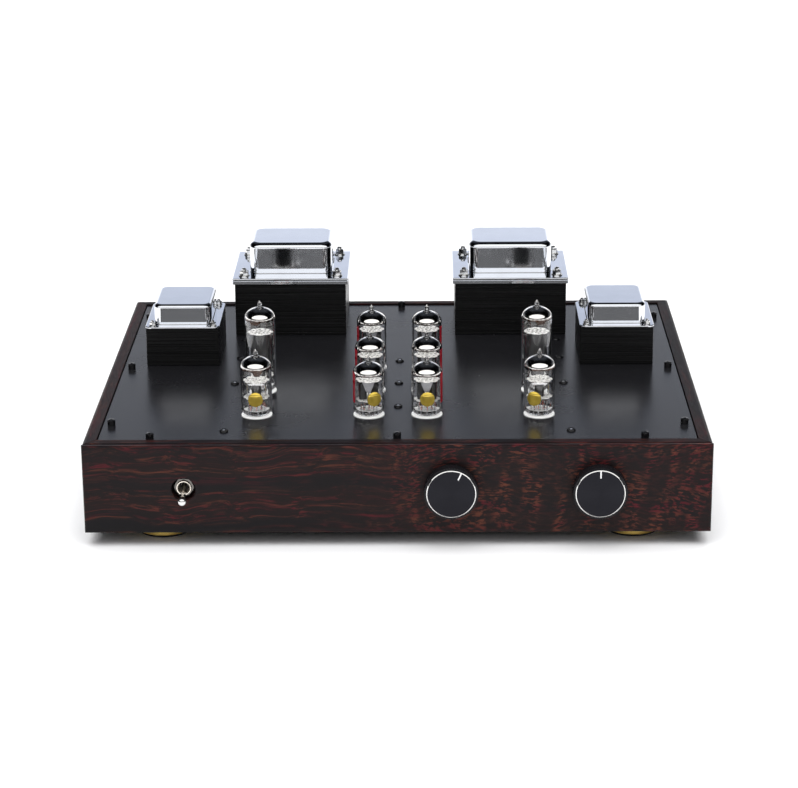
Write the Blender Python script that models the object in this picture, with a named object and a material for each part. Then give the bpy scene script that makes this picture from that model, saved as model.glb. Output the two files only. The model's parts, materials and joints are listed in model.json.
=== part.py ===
"""Stereo valve amplifier in a wooden frame, modelled as separate parts.

Metres, +Z up. The front faces -Y, the feet stand on Z = 0, and the origin is at
the middle of the whole object's footprint.
"""
import math

import bmesh
import bpy
from mathutils import Matrix, Vector

MM = 0.001
GAP = 0.3 * MM  # air between neighbouring parts

# Case
CASE_WIDTH = 431.6 * MM
CASE_DEPTH = 350.4 * MM
BOARD_HEIGHT = 63.6 * MM
FASCIA_THICKNESS = 4.5 * MM
BOARD_THICKNESS = 18 * MM
RIM_WIDTH = 9 * MM  # the part of a board that shows beside the top plate
EDGE_ROUND = 2.2 * MM
RIM_STANDS_PROUD = 1.0 * MM  # the rim's top above the top plate
PLATE_THICKNESS = 2.0 * MM
BOTTOM_PLATE_THICKNESS = 1.5 * MM
BOTTOM_PLATE_RECESS = 0.5 * MM
VENT_X = 95 * MM  # the bottom plate's two groups of slots
VENT_LENGTH = 60 * MM
VENT_WIDTH = 4 * MM
VENT_PITCH = 12 * MM
VENTS = 5
FOOT_HEIGHT = 10 * MM
FOOT_RADIUS = 20 * MM
FOOT_X = 164 * MM
FOOT_INSET = 36 * MM  # from the case's front or rear face to a foot's centre
FOOT_PAD_HEIGHT = 1.7 * MM

# Transformers
COVER_THICKNESS = 1.2 * MM
COVER_SHOULDER = 3 * MM  # radius between a bell's sides and its top
WINDOW_SHARE = 0.52  # a core window's length as a share of the stack

# Valves: columns, rows behind the front face, and tip heights above the top plate
INNER_X = 20.5 * MM
OUTER_X = 99.8 * MM
ROW_DEPTHS = (70 * MM, 124 * MM, 178 * MM)
BULB_RADIUS = 11 * MM
GLASS_THICKNESS = 1.0 * MM
GLASS_BASE_HEIGHT = 3.4 * MM
DOME_HEIGHT = 7.6 * MM
NIPPLE_HEIGHT = 5 * MM
SOCKET_RADIUS = 11 * MM
SOCKET_HEIGHT = 12 * MM
SOCKET_STANDS_PROUD = 0.6 * MM
PIN_CIRCLE_RADIUS = 5.95 * MM
PIN_RADIUS = 0.5 * MM
PIN_LENGTH = 6.5 * MM
BULB_SIDES = 14

# Front controls, with depths measured from the front face
CONTROL_HEIGHT = 32.2 * MM  # above the boards' underside
VOLUME_X = 37 * MM
SELECTOR_X = 138.6 * MM
TOGGLE_X = -146.6 * MM
VOLUME_REST_ANGLE = 24.5  # degrees clockwise from straight up
KNOB_RADIUS = 18.8 * MM
KNOB_REACH = 10.5 * MM
FASCIA_HOLE_RADIUS = 5.2 * MM
SHAFT_RADIUS = 3 * MM
SHAFT_FRONT = 8.6 * MM
SHAFT_REAR = -13.6 * MM
LEVER_PIVOT_DEPTH = 8 * MM
LEVER_LENGTH = 23 * MM
LEVER_TIP_RADIUS = 3.25 * MM
LEVER_DROOP = 12.5  # degrees below level, in the off position
TOGGLE_RECESS_RADIUS = 8.4 * MM
TOGGLE_RECESS_DEPTH = 6.3 * MM
TOGGLE_WEB_REAR = 9.3 * MM
TOGGLE_BUSHING_RADIUS = 5.4 * MM
TOGGLE_BUSHING_DEPTH = 3.0 * MM  # from the front face back to the bushing's end
TOGGLE_NUT_CORNER = 7.9 * MM
TOGGLE_NUT_HEIGHT = 2.2 * MM
TOGGLE_BODY = (18 * MM, 29 * MM, 17 * MM)  # width, height and depth of the switch
TOGGLE_POCKET = (28 * MM, 36 * MM)  # width and height of the space behind the web

# Rear
REAR_PLATE_THICKNESS = 2 * MM
JACK_REACH = 12 * MM  # the furthest that a rear socket stands out from the case
REAR_PLATE_WIDTH = 376 * MM
REAR_PLATE_HEIGHT = 52 * MM
REAR_WINDOW_WIDTH = 352 * MM
REAR_WINDOW_LOW = FOOT_HEIGHT + 12 * MM
REAR_WINDOW_HIGH = FOOT_HEIGHT + 52 * MM
REAR_MIDDLE_Z = (REAR_WINDOW_LOW + REAR_WINDOW_HIGH) / 2
INLET_X = -140 * MM
LEFT_SPEAKER_X = -72 * MM
RIGHT_SPEAKER_X = 30 * MM
INPUT_X = 125 * MM
JACK_PITCH_X = 18 * MM
JACK_PITCH_Z = 15 * MM
SPEAKER_SOCKET_PITCH = 19 * MM

# Inside
CIRCUIT_WIDTH = 252 * MM
CIRCUIT_FRONT = 29 * MM  # from the front face
CIRCUIT_REAR = 252 * MM
CIRCUIT_THICKNESS = 1.6 * MM
CAPACITOR_RADIUS = 17.5 * MM
CAPACITOR_HEIGHT = 44 * MM
CAPACITOR_X = 26 * MM

# Places that follow from the dimensions above
FRONT_REACH = (LEVER_LENGTH - LEVER_TIP_RADIUS) * math.cos(math.radians(LEVER_DROOP))
FRONT_REACH += LEVER_TIP_RADIUS - LEVER_PIVOT_DEPTH
FRONT_Y = -(CASE_DEPTH + JACK_REACH - FRONT_REACH) / 2
REAR_Y = FRONT_Y + CASE_DEPTH
BOARD_TOP = FOOT_HEIGHT + BOARD_HEIGHT
PLATE_TOP = BOARD_TOP - RIM_STANDS_PROUD
PLATE_BOTTOM = PLATE_TOP - PLATE_THICKNESS
FRAME_FRONT = FRONT_Y + FASCIA_THICKNESS + GAP
CONTROL_Z = FOOT_HEIGHT + CONTROL_HEIGHT
SOCKET_TOP = PLATE_TOP + SOCKET_STANDS_PROUD
BOARD_Z = SOCKET_TOP - SOCKET_HEIGHT - GAP  # top face of the circuit board
WINDOW = 34 * MM  # square opening behind each rotary control

FORWARD = (math.radians(90), 0, 0)  # turns a part's own +Z towards the front
BACKWARD = (math.radians(-90), 0, 0)


class Valve:
    """One plug-in valve: its name, place and height above the top plate."""

    def __init__(self, name, x, row, tip_height):
        self.name = name
        self.x = x
        self.y = FRONT_Y + ROW_DEPTHS[row]
        self.tip_height = tip_height


class TransformerKind:
    """Sizes shared by a left and a right transformer."""

    def __init__(self, name, x, depth, core, flange, lip, bell, leg_along_y):
        self.name = name
        self.x = x  # distance from the middle plane
        self.y = FRONT_Y + depth
        self.core = Vector(core) * MM  # laminated stack: width, depth, height
        self.flange = Vector(flange) * MM  # cover flange: width, depth, corner radius
        self.lip = lip * MM  # how far the flange's edge is turned down
        self.bell = Vector(bell) * MM  # cover: width, depth, height, corner radius
        self.leg_along_y = leg_along_y  # direction of the wound centre leg


def valves():
    """The ten valves, from the front row to the rear one."""
    result = []
    for side, sign in (("left", -1), ("right", 1)):
        result += [
            Valve(f"input_valve_{side}", sign * INNER_X, 0, 43.8 * MM),
            Valve(f"phase_valve_{side}", sign * INNER_X, 1, 45.2 * MM),
            Valve(f"gain_valve_{side}", sign * INNER_X, 2, 48.6 * MM),
            Valve(f"driver_valve_{side}", sign * OUTER_X, 0, 48.4 * MM),
            Valve(f"output_valve_{side}", sign * OUTER_X, 1, 68.0 * MM),
        ]
    return result


TRANSFORMERS = (
    TransformerKind("power_transformer", 85.3 * MM, 297.5 * MM, (86, 77, 44.3),
                    (89.4, 80.4, 0.8), 4.6, (62.6, 51, 24, 6), True),
    TransformerKind("output_transformer", 162.3 * MM, 215 * MM, (54.6, 64.6, 28.4),
                    (55.8, 66, 5), 0, (43, 52, 15.3, 5), False),
)


# Making and placing

def clear_scene():
    for item in list(bpy.data.objects):
        bpy.data.objects.remove(item, do_unlink=True)


def material(name, colour, roughness, metallic=0.0):
    """A material with one colour, made once and found by its name later."""
    found = bpy.data.materials.get(name)
    if found:
        return found
    made = bpy.data.materials.new(name)
    made.use_nodes = True
    shader = made.node_tree.nodes["Principled BSDF"]
    shader.inputs["Base Color"].default_value = (*colour, 1.0)
    shader.inputs["Roughness"].default_value = roughness
    shader.inputs["Metallic"].default_value = metallic
    made.diffuse_color = (*colour, 1.0)
    return made


def dark_wood():
    return material("dark_wood", (0.035, 0.018, 0.014), 0.4)


def black_metal():
    return material("black_metal", (0.03, 0.03, 0.033), 0.42, 0.8)


def chrome():
    return material("chrome", (0.85, 0.86, 0.88), 0.08, 1.0)


def laminations():
    return material("varnished_laminations", (0.012, 0.012, 0.013), 0.3, 0.4)


def copper_winding():
    return material("copper_winding", (0.55, 0.2, 0.08), 0.4, 0.7)


def glass():
    return material("valve_glass", (0.75, 0.78, 0.8), 0.05)


def ceramic():
    return material("white_ceramic", (0.9, 0.89, 0.85), 0.3)


def gold():
    return material("gold_anodised", (0.8, 0.55, 0.15), 0.3, 1.0)


def steel():
    return material("steel", (0.6, 0.6, 0.62), 0.3, 1.0)


def black_plastic():
    return material("black_plastic", (0.02, 0.02, 0.02), 0.35)


def mesh_from(work, name):
    """Turn a bmesh into mesh data with outward faces."""
    bmesh.ops.recalc_face_normals(work, faces=work.faces)
    data = bpy.data.meshes.new(name)
    work.to_mesh(data)
    work.free()
    return data


def place(name, data, finish, location=(0, 0, 0), rotation=(0, 0, 0), smooth=False):
    """Add an object for a mesh; several objects may share one mesh."""
    item = bpy.data.objects.new(name, data)
    bpy.context.scene.collection.objects.link(item)
    item.location = location
    item.rotation_euler = rotation
    if not data.materials:
        data.materials.append(finish)
    if smooth:
        data.shade_smooth()
        data.set_sharp_from_angle(angle=math.radians(40))
    return item


def add_box(work, low, high):
    """Add a box between two corners to a bmesh and return its vertices."""
    low, high = Vector(low), Vector(high)
    shift = Matrix.Translation((low + high) / 2) @ Matrix.Diagonal((*(high - low), 1))
    return bmesh.ops.create_cube(work, size=1, matrix=shift)["verts"]


def add_rod(work, radius, low, high, x=0.0, y=0.0, sides=24):
    """Add a cylinder along Z between two heights."""
    shift = Matrix.Translation((x, y, (low + high) / 2))
    bmesh.ops.create_cone(work, cap_ends=True, segments=sides, radius1=radius,
                          radius2=radius, depth=high - low, matrix=shift)


def box_mesh(name, low, high):
    work = bmesh.new()
    add_box(work, low, high)
    return mesh_from(work, name)


def turned_mesh(name, profile, sides):
    """Spin a closed outline of (radius, height) points about Z."""
    work = bmesh.new()
    rings = []
    for radius, height in profile:
        if radius == 0:
            rings.append([work.verts.new((0, 0, height))])
            continue
        angles = [2 * math.pi * step / sides for step in range(sides)]
        rings.append([work.verts.new((radius * math.cos(a), radius * math.sin(a), height))
                      for a in angles])
    for first, second in zip(rings, rings[1:] + rings[:1]):
        if len(first) == len(second) == 1:
            continue
        for step in range(sides):
            corners = [first[step % len(first)], first[(step + 1) % len(first)],
                       second[(step + 1) % len(second)], second[step % len(second)]]
            work.faces.new(list(dict.fromkeys(corners)))
    return mesh_from(work, name)


def rounded_rectangle(width, depth, radius, height, steps=2):
    """Points of a rectangle with round corners, at one height."""
    points = []
    for corner, (sx, sy) in enumerate(((1, 1), (-1, 1), (-1, -1), (1, -1))):
        centre_x = sx * (width / 2 - radius)
        centre_y = sy * (depth / 2 - radius)
        for step in range(steps + 1):
            angle = math.pi / 2 * (corner + step / steps)
            points.append((centre_x + radius * math.cos(angle),
                           centre_y + radius * math.sin(angle), height))
    return points


def lofted_mesh(name, loops):
    """Join loops with equal point counts in order, and close the first and the last."""
    work = bmesh.new()
    rings = [[work.verts.new(point) for point in loop] for loop in loops]
    for first, second in zip(rings, rings[1:]):
        for step in range(len(first)):
            after = (step + 1) % len(first)
            work.faces.new((first[step], first[after], second[after], second[step]))
    work.faces.new(rings[0])
    work.faces.new(rings[-1])
    return mesh_from(work, name)


def guide(name, data, parent=None):
    """A hidden cutter or addition, used only by a Boolean."""
    item = bpy.data.objects.new(name, data)
    bpy.context.scene.collection.objects.link(item)
    item.hide_render = True
    item.display_type = "WIRE"
    item.parent = parent
    return item


def combine(target, data, operation):
    """Cut a mesh from a target, or add it, in the target's own axes."""
    count = len(target.modifiers)
    helper = guide(f"{target.name}_guide_{count}", data, target)
    change = target.modifiers.new(f"{operation.lower()}_{count}", "BOOLEAN")
    change.operation = operation
    change.object = helper
    change.solver = "EXACT"
    return change


def cut(target, data):
    combine(target, data, "DIFFERENCE")


def join(target, data):
    combine(target, data, "UNION")


# Wooden frame

def corner_setback(depth, rounded):
    """How far a mitred board's end lies from the frame's corner at a depth from its face."""
    if not rounded or depth >= EDGE_ROUND * (1 - math.cos(math.radians(45))):
        return depth
    return EDGE_ROUND * (1 - math.sin(math.acos(1 - depth / EDGE_ROUND)))


def frame_board_mesh(name, length, round_start, round_end):
    """A rebated board along X, its outer face at Y = 0 and its thickness towards +Y."""
    shelf_top = PLATE_BOTTOM - GAP
    shelf_bottom = FOOT_HEIGHT + BOTTOM_PLATE_RECESS + BOTTOM_PLATE_THICKNESS + GAP
    arc = [math.radians(angle) for angle in (0, 45, 67.5, 90)]
    lower = [(EDGE_ROUND * (1 - math.sin(a)), FOOT_HEIGHT + EDGE_ROUND * (1 - math.cos(a)))
             for a in arc]
    upper = [(depth, FOOT_HEIGHT + BOARD_TOP - height) for depth, height in reversed(lower)]
    outline = lower + upper + [
        (RIM_WIDTH, BOARD_TOP),
        (RIM_WIDTH, shelf_top),
        (BOARD_THICKNESS, shelf_top),
        (BOARD_THICKNESS, shelf_bottom),
        (RIM_WIDTH, shelf_bottom),
        (RIM_WIDTH, FOOT_HEIGHT),
    ]
    mitre_gap = GAP / 2 * math.sqrt(2)
    start = []
    end = []
    for depth, height in outline:
        start.append((-length / 2 + corner_setback(depth, round_start) + mitre_gap, depth, height))
        end.append((length / 2 - corner_setback(depth, round_end) - mitre_gap, depth, height))
    return lofted_mesh(name, [start, end])


def make_frame():
    side_length = REAR_Y - FRAME_FRONT
    middle_y = (REAR_Y + FRAME_FRONT) / 2
    finish = dark_wood()
    front = place("front_board", frame_board_mesh("front_board", CASE_WIDTH, False, False),
                  finish, (0, FRAME_FRONT, 0))
    rear = place("rear_board", frame_board_mesh("rear_board", CASE_WIDTH, True, True),
                 finish, (0, REAR_Y, 0), (0, 0, math.radians(180)))
    place("left_side_board", frame_board_mesh("left_side_board", side_length, True, False),
          finish, (-CASE_WIDTH / 2, middle_y, 0), (0, 0, math.radians(-90)))
    place("right_side_board", frame_board_mesh("right_side_board", side_length, False, True),
          finish, (CASE_WIDTH / 2, middle_y, 0), (0, 0, math.radians(90)))

    windows = bmesh.new()
    for x in (VOLUME_X, SELECTOR_X):
        add_box(windows, (x - WINDOW / 2, -MM, CONTROL_Z - WINDOW / 2),
                (x + WINDOW / 2, BOARD_THICKNESS + MM, CONTROL_Z + WINDOW / 2))
    pocket_front = TOGGLE_WEB_REAR - FASCIA_THICKNESS - GAP
    pocket_width, pocket_height = TOGGLE_POCKET
    add_box(windows, (TOGGLE_X - pocket_width / 2, pocket_front, CONTROL_Z - pocket_height / 2),
            (TOGGLE_X + pocket_width / 2, BOARD_THICKNESS + MM, CONTROL_Z + pocket_height / 2))
    cut(front, mesh_from(windows, "front_board_windows"))
    recess = bmesh.new()
    add_rod(recess, TOGGLE_RECESS_RADIUS, -MM, TOGGLE_RECESS_DEPTH - FASCIA_THICKNESS - GAP)
    bmesh.ops.transform(recess, verts=recess.verts, matrix=facing(TOGGLE_X))
    cut(front, mesh_from(recess, "toggle_recess"))
    hole = bmesh.new()
    add_rod(hole, TOGGLE_BUSHING_RADIUS + GAP, 0, BOARD_THICKNESS)
    bmesh.ops.transform(hole, verts=hole.verts, matrix=facing(TOGGLE_X))
    cut(front, mesh_from(hole, "toggle_hole"))

    opening = box_mesh("rear_window", (-REAR_WINDOW_WIDTH / 2, -MM, REAR_WINDOW_LOW),
                       (REAR_WINDOW_WIDTH / 2, BOARD_THICKNESS + MM, REAR_WINDOW_HIGH))
    cut(rear, opening)


def facing(x):
    """Matrix from a rod along Z to a hole running back through the front, at a control."""
    return Matrix.Translation((x, 0, CONTROL_Z)) @ Matrix.Rotation(math.radians(-90), 4, "X")


def make_fascia():
    work = bmesh.new()
    add_box(work, (-CASE_WIDTH / 2, 0, FOOT_HEIGHT), (CASE_WIDTH / 2, FASCIA_THICKNESS, BOARD_TOP))
    front_edges = [edge for edge in work.edges if all(v.co.y < MM for v in edge.verts)]
    bmesh.ops.bevel(work, geom=front_edges, offset=EDGE_ROUND, segments=3, profile=0.5,
                    affect="EDGES")
    fascia = place("front_fascia", mesh_from(work, "front_fascia"), dark_wood(), (0, FRONT_Y, 0))
    for x, radius in ((TOGGLE_X, TOGGLE_RECESS_RADIUS), (VOLUME_X, FASCIA_HOLE_RADIUS),
                      (SELECTOR_X, FASCIA_HOLE_RADIUS)):
        hole = bmesh.new()
        add_rod(hole, radius, -MM, FASCIA_THICKNESS + MM)
        bmesh.ops.transform(hole, verts=hole.verts, matrix=facing(x))
        cut(fascia, mesh_from(hole, "fascia_hole"))


# Plates and feet

def make_top_plate():
    inset = RIM_WIDTH + 0.5 * MM
    low = (-CASE_WIDTH / 2 + inset, FRAME_FRONT - GAP + inset, PLATE_BOTTOM)
    high = (CASE_WIDTH / 2 - inset, REAR_Y - inset, PLATE_TOP)
    plate = place("top_plate", box_mesh("top_plate", low, high), black_metal())
    holes = bmesh.new()
    for valve in valves():
        add_rod(holes, SOCKET_RADIUS + 0.5 * MM, PLATE_BOTTOM - MM, PLATE_TOP + MM,
                valve.x, valve.y, sides=16)
    for kind in TRANSFORMERS:
        width, depth = coil_footprint(kind)
        for sign in (-1, 1):
            middle = Vector((sign * kind.x, kind.y, PLATE_TOP))
            reach = Vector((width / 2 + MM, depth / 2 + MM, 2 * PLATE_THICKNESS))
            add_box(holes, middle - reach, middle + reach)
    cut(plate, mesh_from(holes, "top_plate_holes"))


def make_bottom_plate():
    inset = RIM_WIDTH + 0.5 * MM
    base = FOOT_HEIGHT + BOTTOM_PLATE_RECESS
    low = (-CASE_WIDTH / 2 + inset, FRAME_FRONT - GAP + inset, base)
    high = (CASE_WIDTH / 2 - inset, REAR_Y - inset, base + BOTTOM_PLATE_THICKNESS)
    plate = place("bottom_plate", box_mesh("bottom_plate", low, high), black_metal())
    slots = bmesh.new()
    for x in (-VENT_X, VENT_X):
        for number in range(VENTS):
            y = FRONT_Y + ROW_DEPTHS[0] + number * VENT_PITCH
            add_box(slots, (x - VENT_LENGTH / 2, y, base - MM),
                    (x + VENT_LENGTH / 2, y + VENT_WIDTH, base + BOTTOM_PLATE_THICKNESS + MM))
    cut(plate, mesh_from(slots, "bottom_plate_slots"))


def make_feet():
    top = FOOT_HEIGHT + BOTTOM_PLATE_RECESS - GAP
    pad_radius = FOOT_RADIUS - MM
    chamfer = 0.6 * MM
    profile = [(0, 0), (pad_radius, 0), (pad_radius, FOOT_PAD_HEIGHT),
               (FOOT_RADIUS, FOOT_PAD_HEIGHT), (FOOT_RADIUS, top - chamfer),
               (FOOT_RADIUS - chamfer, top), (0, top)]
    data = turned_mesh("foot", profile, 24)
    for name, x, y in (
        ("foot_front_left", -FOOT_X, FRONT_Y + FOOT_INSET),
        ("foot_front_right", FOOT_X, FRONT_Y + FOOT_INSET),
        ("foot_rear_left", -FOOT_X, REAR_Y - FOOT_INSET),
        ("foot_rear_right", FOOT_X, REAR_Y - FOOT_INSET),
    ):
        place(name, data, gold(), (x, y, 0), smooth=True)


# Transformers

def coil_footprint(kind):
    """Width and depth of the winding where it leaves the laminated stack."""
    if kind.leg_along_y:
        return kind.core.x * 2 / 3 - 2 * GAP, kind.core.y * WINDOW_SHARE - 2 * GAP
    return kind.core.x * WINDOW_SHARE - 2 * GAP, kind.core.y * 2 / 3 - 2 * GAP


def core_mesh(kind):
    """The laminated stack: a block with the two windows that the winding passes through."""
    width, depth, height = kind.core
    work = bmesh.new()
    add_box(work, (-width / 2, -depth / 2, 0), (width / 2, depth / 2, height))
    return mesh_from(work, f"{kind.name}_core")


def core_windows_mesh(kind):
    coil_width, coil_depth = coil_footprint(kind)
    half = Vector((coil_width / 2 + GAP, coil_depth / 2 + GAP))
    leg = kind.core.x / 6 if kind.leg_along_y else kind.core.y / 6
    work = bmesh.new()
    for side in (-1, 1):
        low, high = sorted((side * leg, side * (half.x if kind.leg_along_y else half.y)))
        if kind.leg_along_y:
            corners = ((low, -half.y), (high, half.y))
        else:
            corners = ((-half.x, low), (half.x, high))
        add_box(work, (*corners[0], -MM), (*corners[1], kind.core.z + MM))
    return mesh_from(work, f"{kind.name}_windows")


def coil_mesh(kind):
    """The winding: a ring round the centre leg, standing out above and below the stack."""
    width, depth = coil_footprint(kind)
    across, along = (width, depth) if kind.leg_along_y else (depth, width)
    leg = kind.core.x / 6 if kind.leg_along_y else kind.core.y / 6
    build = across / 2 - leg - GAP
    outer = rounded_rectangle(across, kind.core.z + 2 * (build + GAP), build / 2, -along / 2)
    inner = rounded_rectangle(2 * (leg + GAP), kind.core.z + 2 * GAP, 0.3 * MM, -along / 2)
    work = bmesh.new()
    rings = []
    for loop, shift in ((outer, 0), (outer, along), (inner, along), (inner, 0)):
        rings.append([work.verts.new((x, y, z + shift)) for x, y, z in loop])
    for first, second in zip(rings, rings[1:] + rings[:1]):
        for step in range(len(first)):
            after = (step + 1) % len(first)
            work.faces.new((first[step], first[after], second[after], second[step]))
    turn = Matrix.Rotation(math.radians(90), 4, "X")
    if not kind.leg_along_y:
        turn = Matrix.Rotation(math.radians(90), 4, "Z") @ turn
    lift = Matrix.Translation((0, 0, kind.core.z / 2))
    bmesh.ops.transform(work, verts=work.verts, matrix=lift @ turn)
    return mesh_from(work, f"{kind.name}_coil")


def cover_mesh(kind):
    """The pressed cover: a flange, with a turned-down lip on the large one, and a bell."""
    sheet = COVER_THICKNESS
    flange_top = kind.core.z + GAP + sheet
    width, depth, corner = kind.flange
    bell_width, bell_depth, bell_height, bell_corner = kind.bell
    bell_top = flange_top + bell_height
    shoulder = COVER_SHOULDER

    def bell_loop(shrink, height):
        return rounded_rectangle(bell_width - 2 * shrink, bell_depth - 2 * shrink,
                                 bell_corner - shrink * 0.6, height)

    outer = [
        rounded_rectangle(width, depth, corner, flange_top - max(kind.lip, sheet)),
        rounded_rectangle(width, depth, corner, flange_top - 0.5 * MM),
        rounded_rectangle(width - MM, depth - MM, corner, flange_top),
        bell_loop(-0.8 * MM, flange_top),
        bell_loop(0, flange_top + 0.8 * MM),
        bell_loop(0, bell_top - shoulder),
        bell_loop(shoulder * 0.3, bell_top - shoulder * 0.3),
        bell_loop(shoulder, bell_top),
    ]
    inner = [
        bell_loop(shoulder, bell_top - sheet),
        bell_loop(sheet, bell_top - shoulder),
        bell_loop(sheet, flange_top - sheet),
    ]
    if kind.lip:
        inner += [
            rounded_rectangle(width - 2 * sheet, depth - 2 * sheet, 0.4 * MM, flange_top - sheet),
            rounded_rectangle(width - 2 * sheet, depth - 2 * sheet, 0.4 * MM,
                              flange_top - kind.lip),
        ]
    work = bmesh.new()
    outer_rings = [[work.verts.new(point) for point in loop] for loop in outer]
    inner_rings = [[work.verts.new(point) for point in loop] for loop in inner]
    pairs = list(zip(outer_rings, outer_rings[1:])) + list(zip(inner_rings, inner_rings[1:]))
    pairs.append((inner_rings[-1], outer_rings[0]))
    for first, second in pairs:
        for step in range(len(first)):
            after = (step + 1) % len(first)
            work.faces.new((first[step], first[after], second[after], second[step]))
    work.faces.new(outer_rings[-1])
    work.faces.new(inner_rings[0])
    return mesh_from(work, f"{kind.name}_cover")


def make_transformers():
    for kind in TRANSFORMERS:
        core, coil, cover = core_mesh(kind), coil_mesh(kind), cover_mesh(kind)
        windows = core_windows_mesh(kind)
        for side, sign in (("left", -1), ("right", 1)):
            spot = (sign * kind.x, kind.y, PLATE_TOP + GAP)
            stack = place(f"{kind.name}_{side}_core", core, laminations(), spot)
            cut(stack, windows)
            place(f"{kind.name}_{side}_coil", coil, copper_winding(), spot, smooth=True)
            place(f"{kind.name}_{side}_cover", cover, chrome(), spot, smooth=True)


# Valves and sockets

def bulb_profile(height):
    """Closed outline of a glass bulb, from the exhaust hole round the outside and back inside."""
    wall = GLASS_THICKNESS
    radius = BULB_RADIUS
    nipple_base = height - NIPPLE_HEIGHT
    shoulder = nipple_base - DOME_HEIGHT
    hole = 1.5 * MM
    return [
        (hole, 0),
        (radius - 2.4 * MM, 0),
        (radius - 0.7 * MM, 1.2 * MM),
        (radius, GLASS_BASE_HEIGHT),
        (radius, shoulder),
        (radius * 0.87, shoulder + DOME_HEIGHT * 0.5),
        (radius * 0.5, shoulder + DOME_HEIGHT * 0.87),
        (2 * MM, nipple_base),
        (1.4 * MM, height - 1.4 * MM),
        (0, height),
        (0, nipple_base - 2 * MM),
        (radius * 0.5, nipple_base - 2.4 * MM),
        (radius - wall, shoulder),
        (radius - wall, GLASS_BASE_HEIGHT),
        (hole, GLASS_BASE_HEIGHT),
    ]


def valve_mesh(height):
    """Bulb and nine contact pins as one body; the base's underside is at Z = 0."""
    bulb = bpy.data.objects.new("bulb_work", turned_mesh("bulb", bulb_profile(height), BULB_SIDES))
    bpy.context.scene.collection.objects.link(bulb)
    pins = bmesh.new()
    for number in range(9):
        angle = math.radians(36 * (number + 1) - 90)
        add_rod(pins, PIN_RADIUS, -PIN_LENGTH, 1.5 * MM, PIN_CIRCLE_RADIUS * math.cos(angle),
                PIN_CIRCLE_RADIUS * math.sin(angle), sides=4)
    join(bulb, mesh_from(pins, "pins"))
    bpy.context.view_layer.update()
    evaluated = bulb.evaluated_get(bpy.context.evaluated_depsgraph_get())
    data = bpy.data.meshes.new_from_object(evaluated)
    for helper in list(bulb.children) + [bulb]:
        bpy.data.objects.remove(helper, do_unlink=True)
    return data


def make_valves():
    base = SOCKET_TOP + GAP
    bore = PIN_CIRCLE_RADIUS + PIN_RADIUS + 0.85 * MM
    low = -SOCKET_HEIGHT
    ring = [(bore, low), (SOCKET_RADIUS - MM, low), (SOCKET_RADIUS - MM, -3 * MM),
            (SOCKET_RADIUS, -3 * MM), (SOCKET_RADIUS, -0.4 * MM), (SOCKET_RADIUS - 0.4 * MM, 0),
            (bore, 0)]
    socket = turned_mesh("socket", ring, 16)
    shapes = {}
    for valve in valves():
        height = valve.tip_height - (base - PLATE_TOP)
        if valve.tip_height not in shapes:
            shapes[valve.tip_height] = valve_mesh(height)
        place(valve.name, shapes[valve.tip_height], glass(), (valve.x, valve.y, base), smooth=True)
        place(valve.name.replace("valve", "socket"), socket, ceramic(),
              (valve.x, valve.y, SOCKET_TOP), smooth=True)


# Front controls

def knob_mesh():
    """Turned knob with its skirt hollow behind, a blind shaft bore and a chamfered face."""
    back = 0.6 * MM
    hollow_end = 4 * MM
    bore = SHAFT_RADIUS + GAP
    bore_end = SHAFT_FRONT + 0.4 * MM
    profile = [
        (0, bore_end), (bore, bore_end), (bore, hollow_end), (12 * MM, hollow_end),
        (12 * MM, back), (KNOB_RADIUS - 0.6 * MM, back), (KNOB_RADIUS, back + 0.6 * MM),
        (KNOB_RADIUS, KNOB_REACH - 1.9 * MM), (KNOB_RADIUS - 1.2 * MM, KNOB_REACH - 0.6 * MM),
        (KNOB_RADIUS - 1.9 * MM, KNOB_REACH), (0, KNOB_REACH),
    ]
    return turned_mesh("knob", profile, 24)


def control_body_mesh(name, body_radius, body_length):
    """A rotary control behind the fascia, with its bushing and the shaft's blind bore."""
    bore = SHAFT_RADIUS + GAP
    front = -FASCIA_THICKNESS - GAP
    bushing_radius, bushing_end = 4.6 * MM, 3.4 * MM
    bore_end = SHAFT_REAR - 0.4 * MM
    profile = [
        (0, bore_end), (bore, bore_end), (bore, bushing_end), (bushing_radius, bushing_end),
        (bushing_radius, front), (body_radius - MM, front), (body_radius, front - MM),
        (body_radius, front - body_length), (0, front - body_length),
    ]
    return turned_mesh(name, profile, 20)


def make_rotary_controls():
    knob = knob_mesh()
    shaft = turned_mesh("shaft", [(0, SHAFT_REAR), (SHAFT_RADIUS, SHAFT_REAR),
                                  (SHAFT_RADIUS, SHAFT_FRONT), (0, SHAFT_FRONT)], 16)
    groove = box_mesh("indicator_groove", (-0.6 * MM, 11.2 * MM, KNOB_REACH - 0.5 * MM),
                      (0.6 * MM, 16 * MM, KNOB_REACH + MM))
    for name, x, angle, body_name, radius, length in (
        ("volume", VOLUME_X, VOLUME_REST_ANGLE, "volume_potentiometer", 12 * MM, 20 * MM),
        ("selector", SELECTOR_X, 0, "selector_switch", 14 * MM, 16 * MM),
    ):
        axis_point = (x, FRONT_Y, CONTROL_Z)
        turn = (FORWARD[0], math.radians(angle), 0)
        handle = place(f"{name}_knob", knob, black_metal(), axis_point, turn, smooth=True)
        cut(handle, groove)
        place(f"{name}_shaft", shaft, steel(), axis_point, turn, smooth=True)
        place(body_name, control_body_mesh(body_name, radius, length), steel(), axis_point,
              FORWARD, smooth=True)


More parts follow.
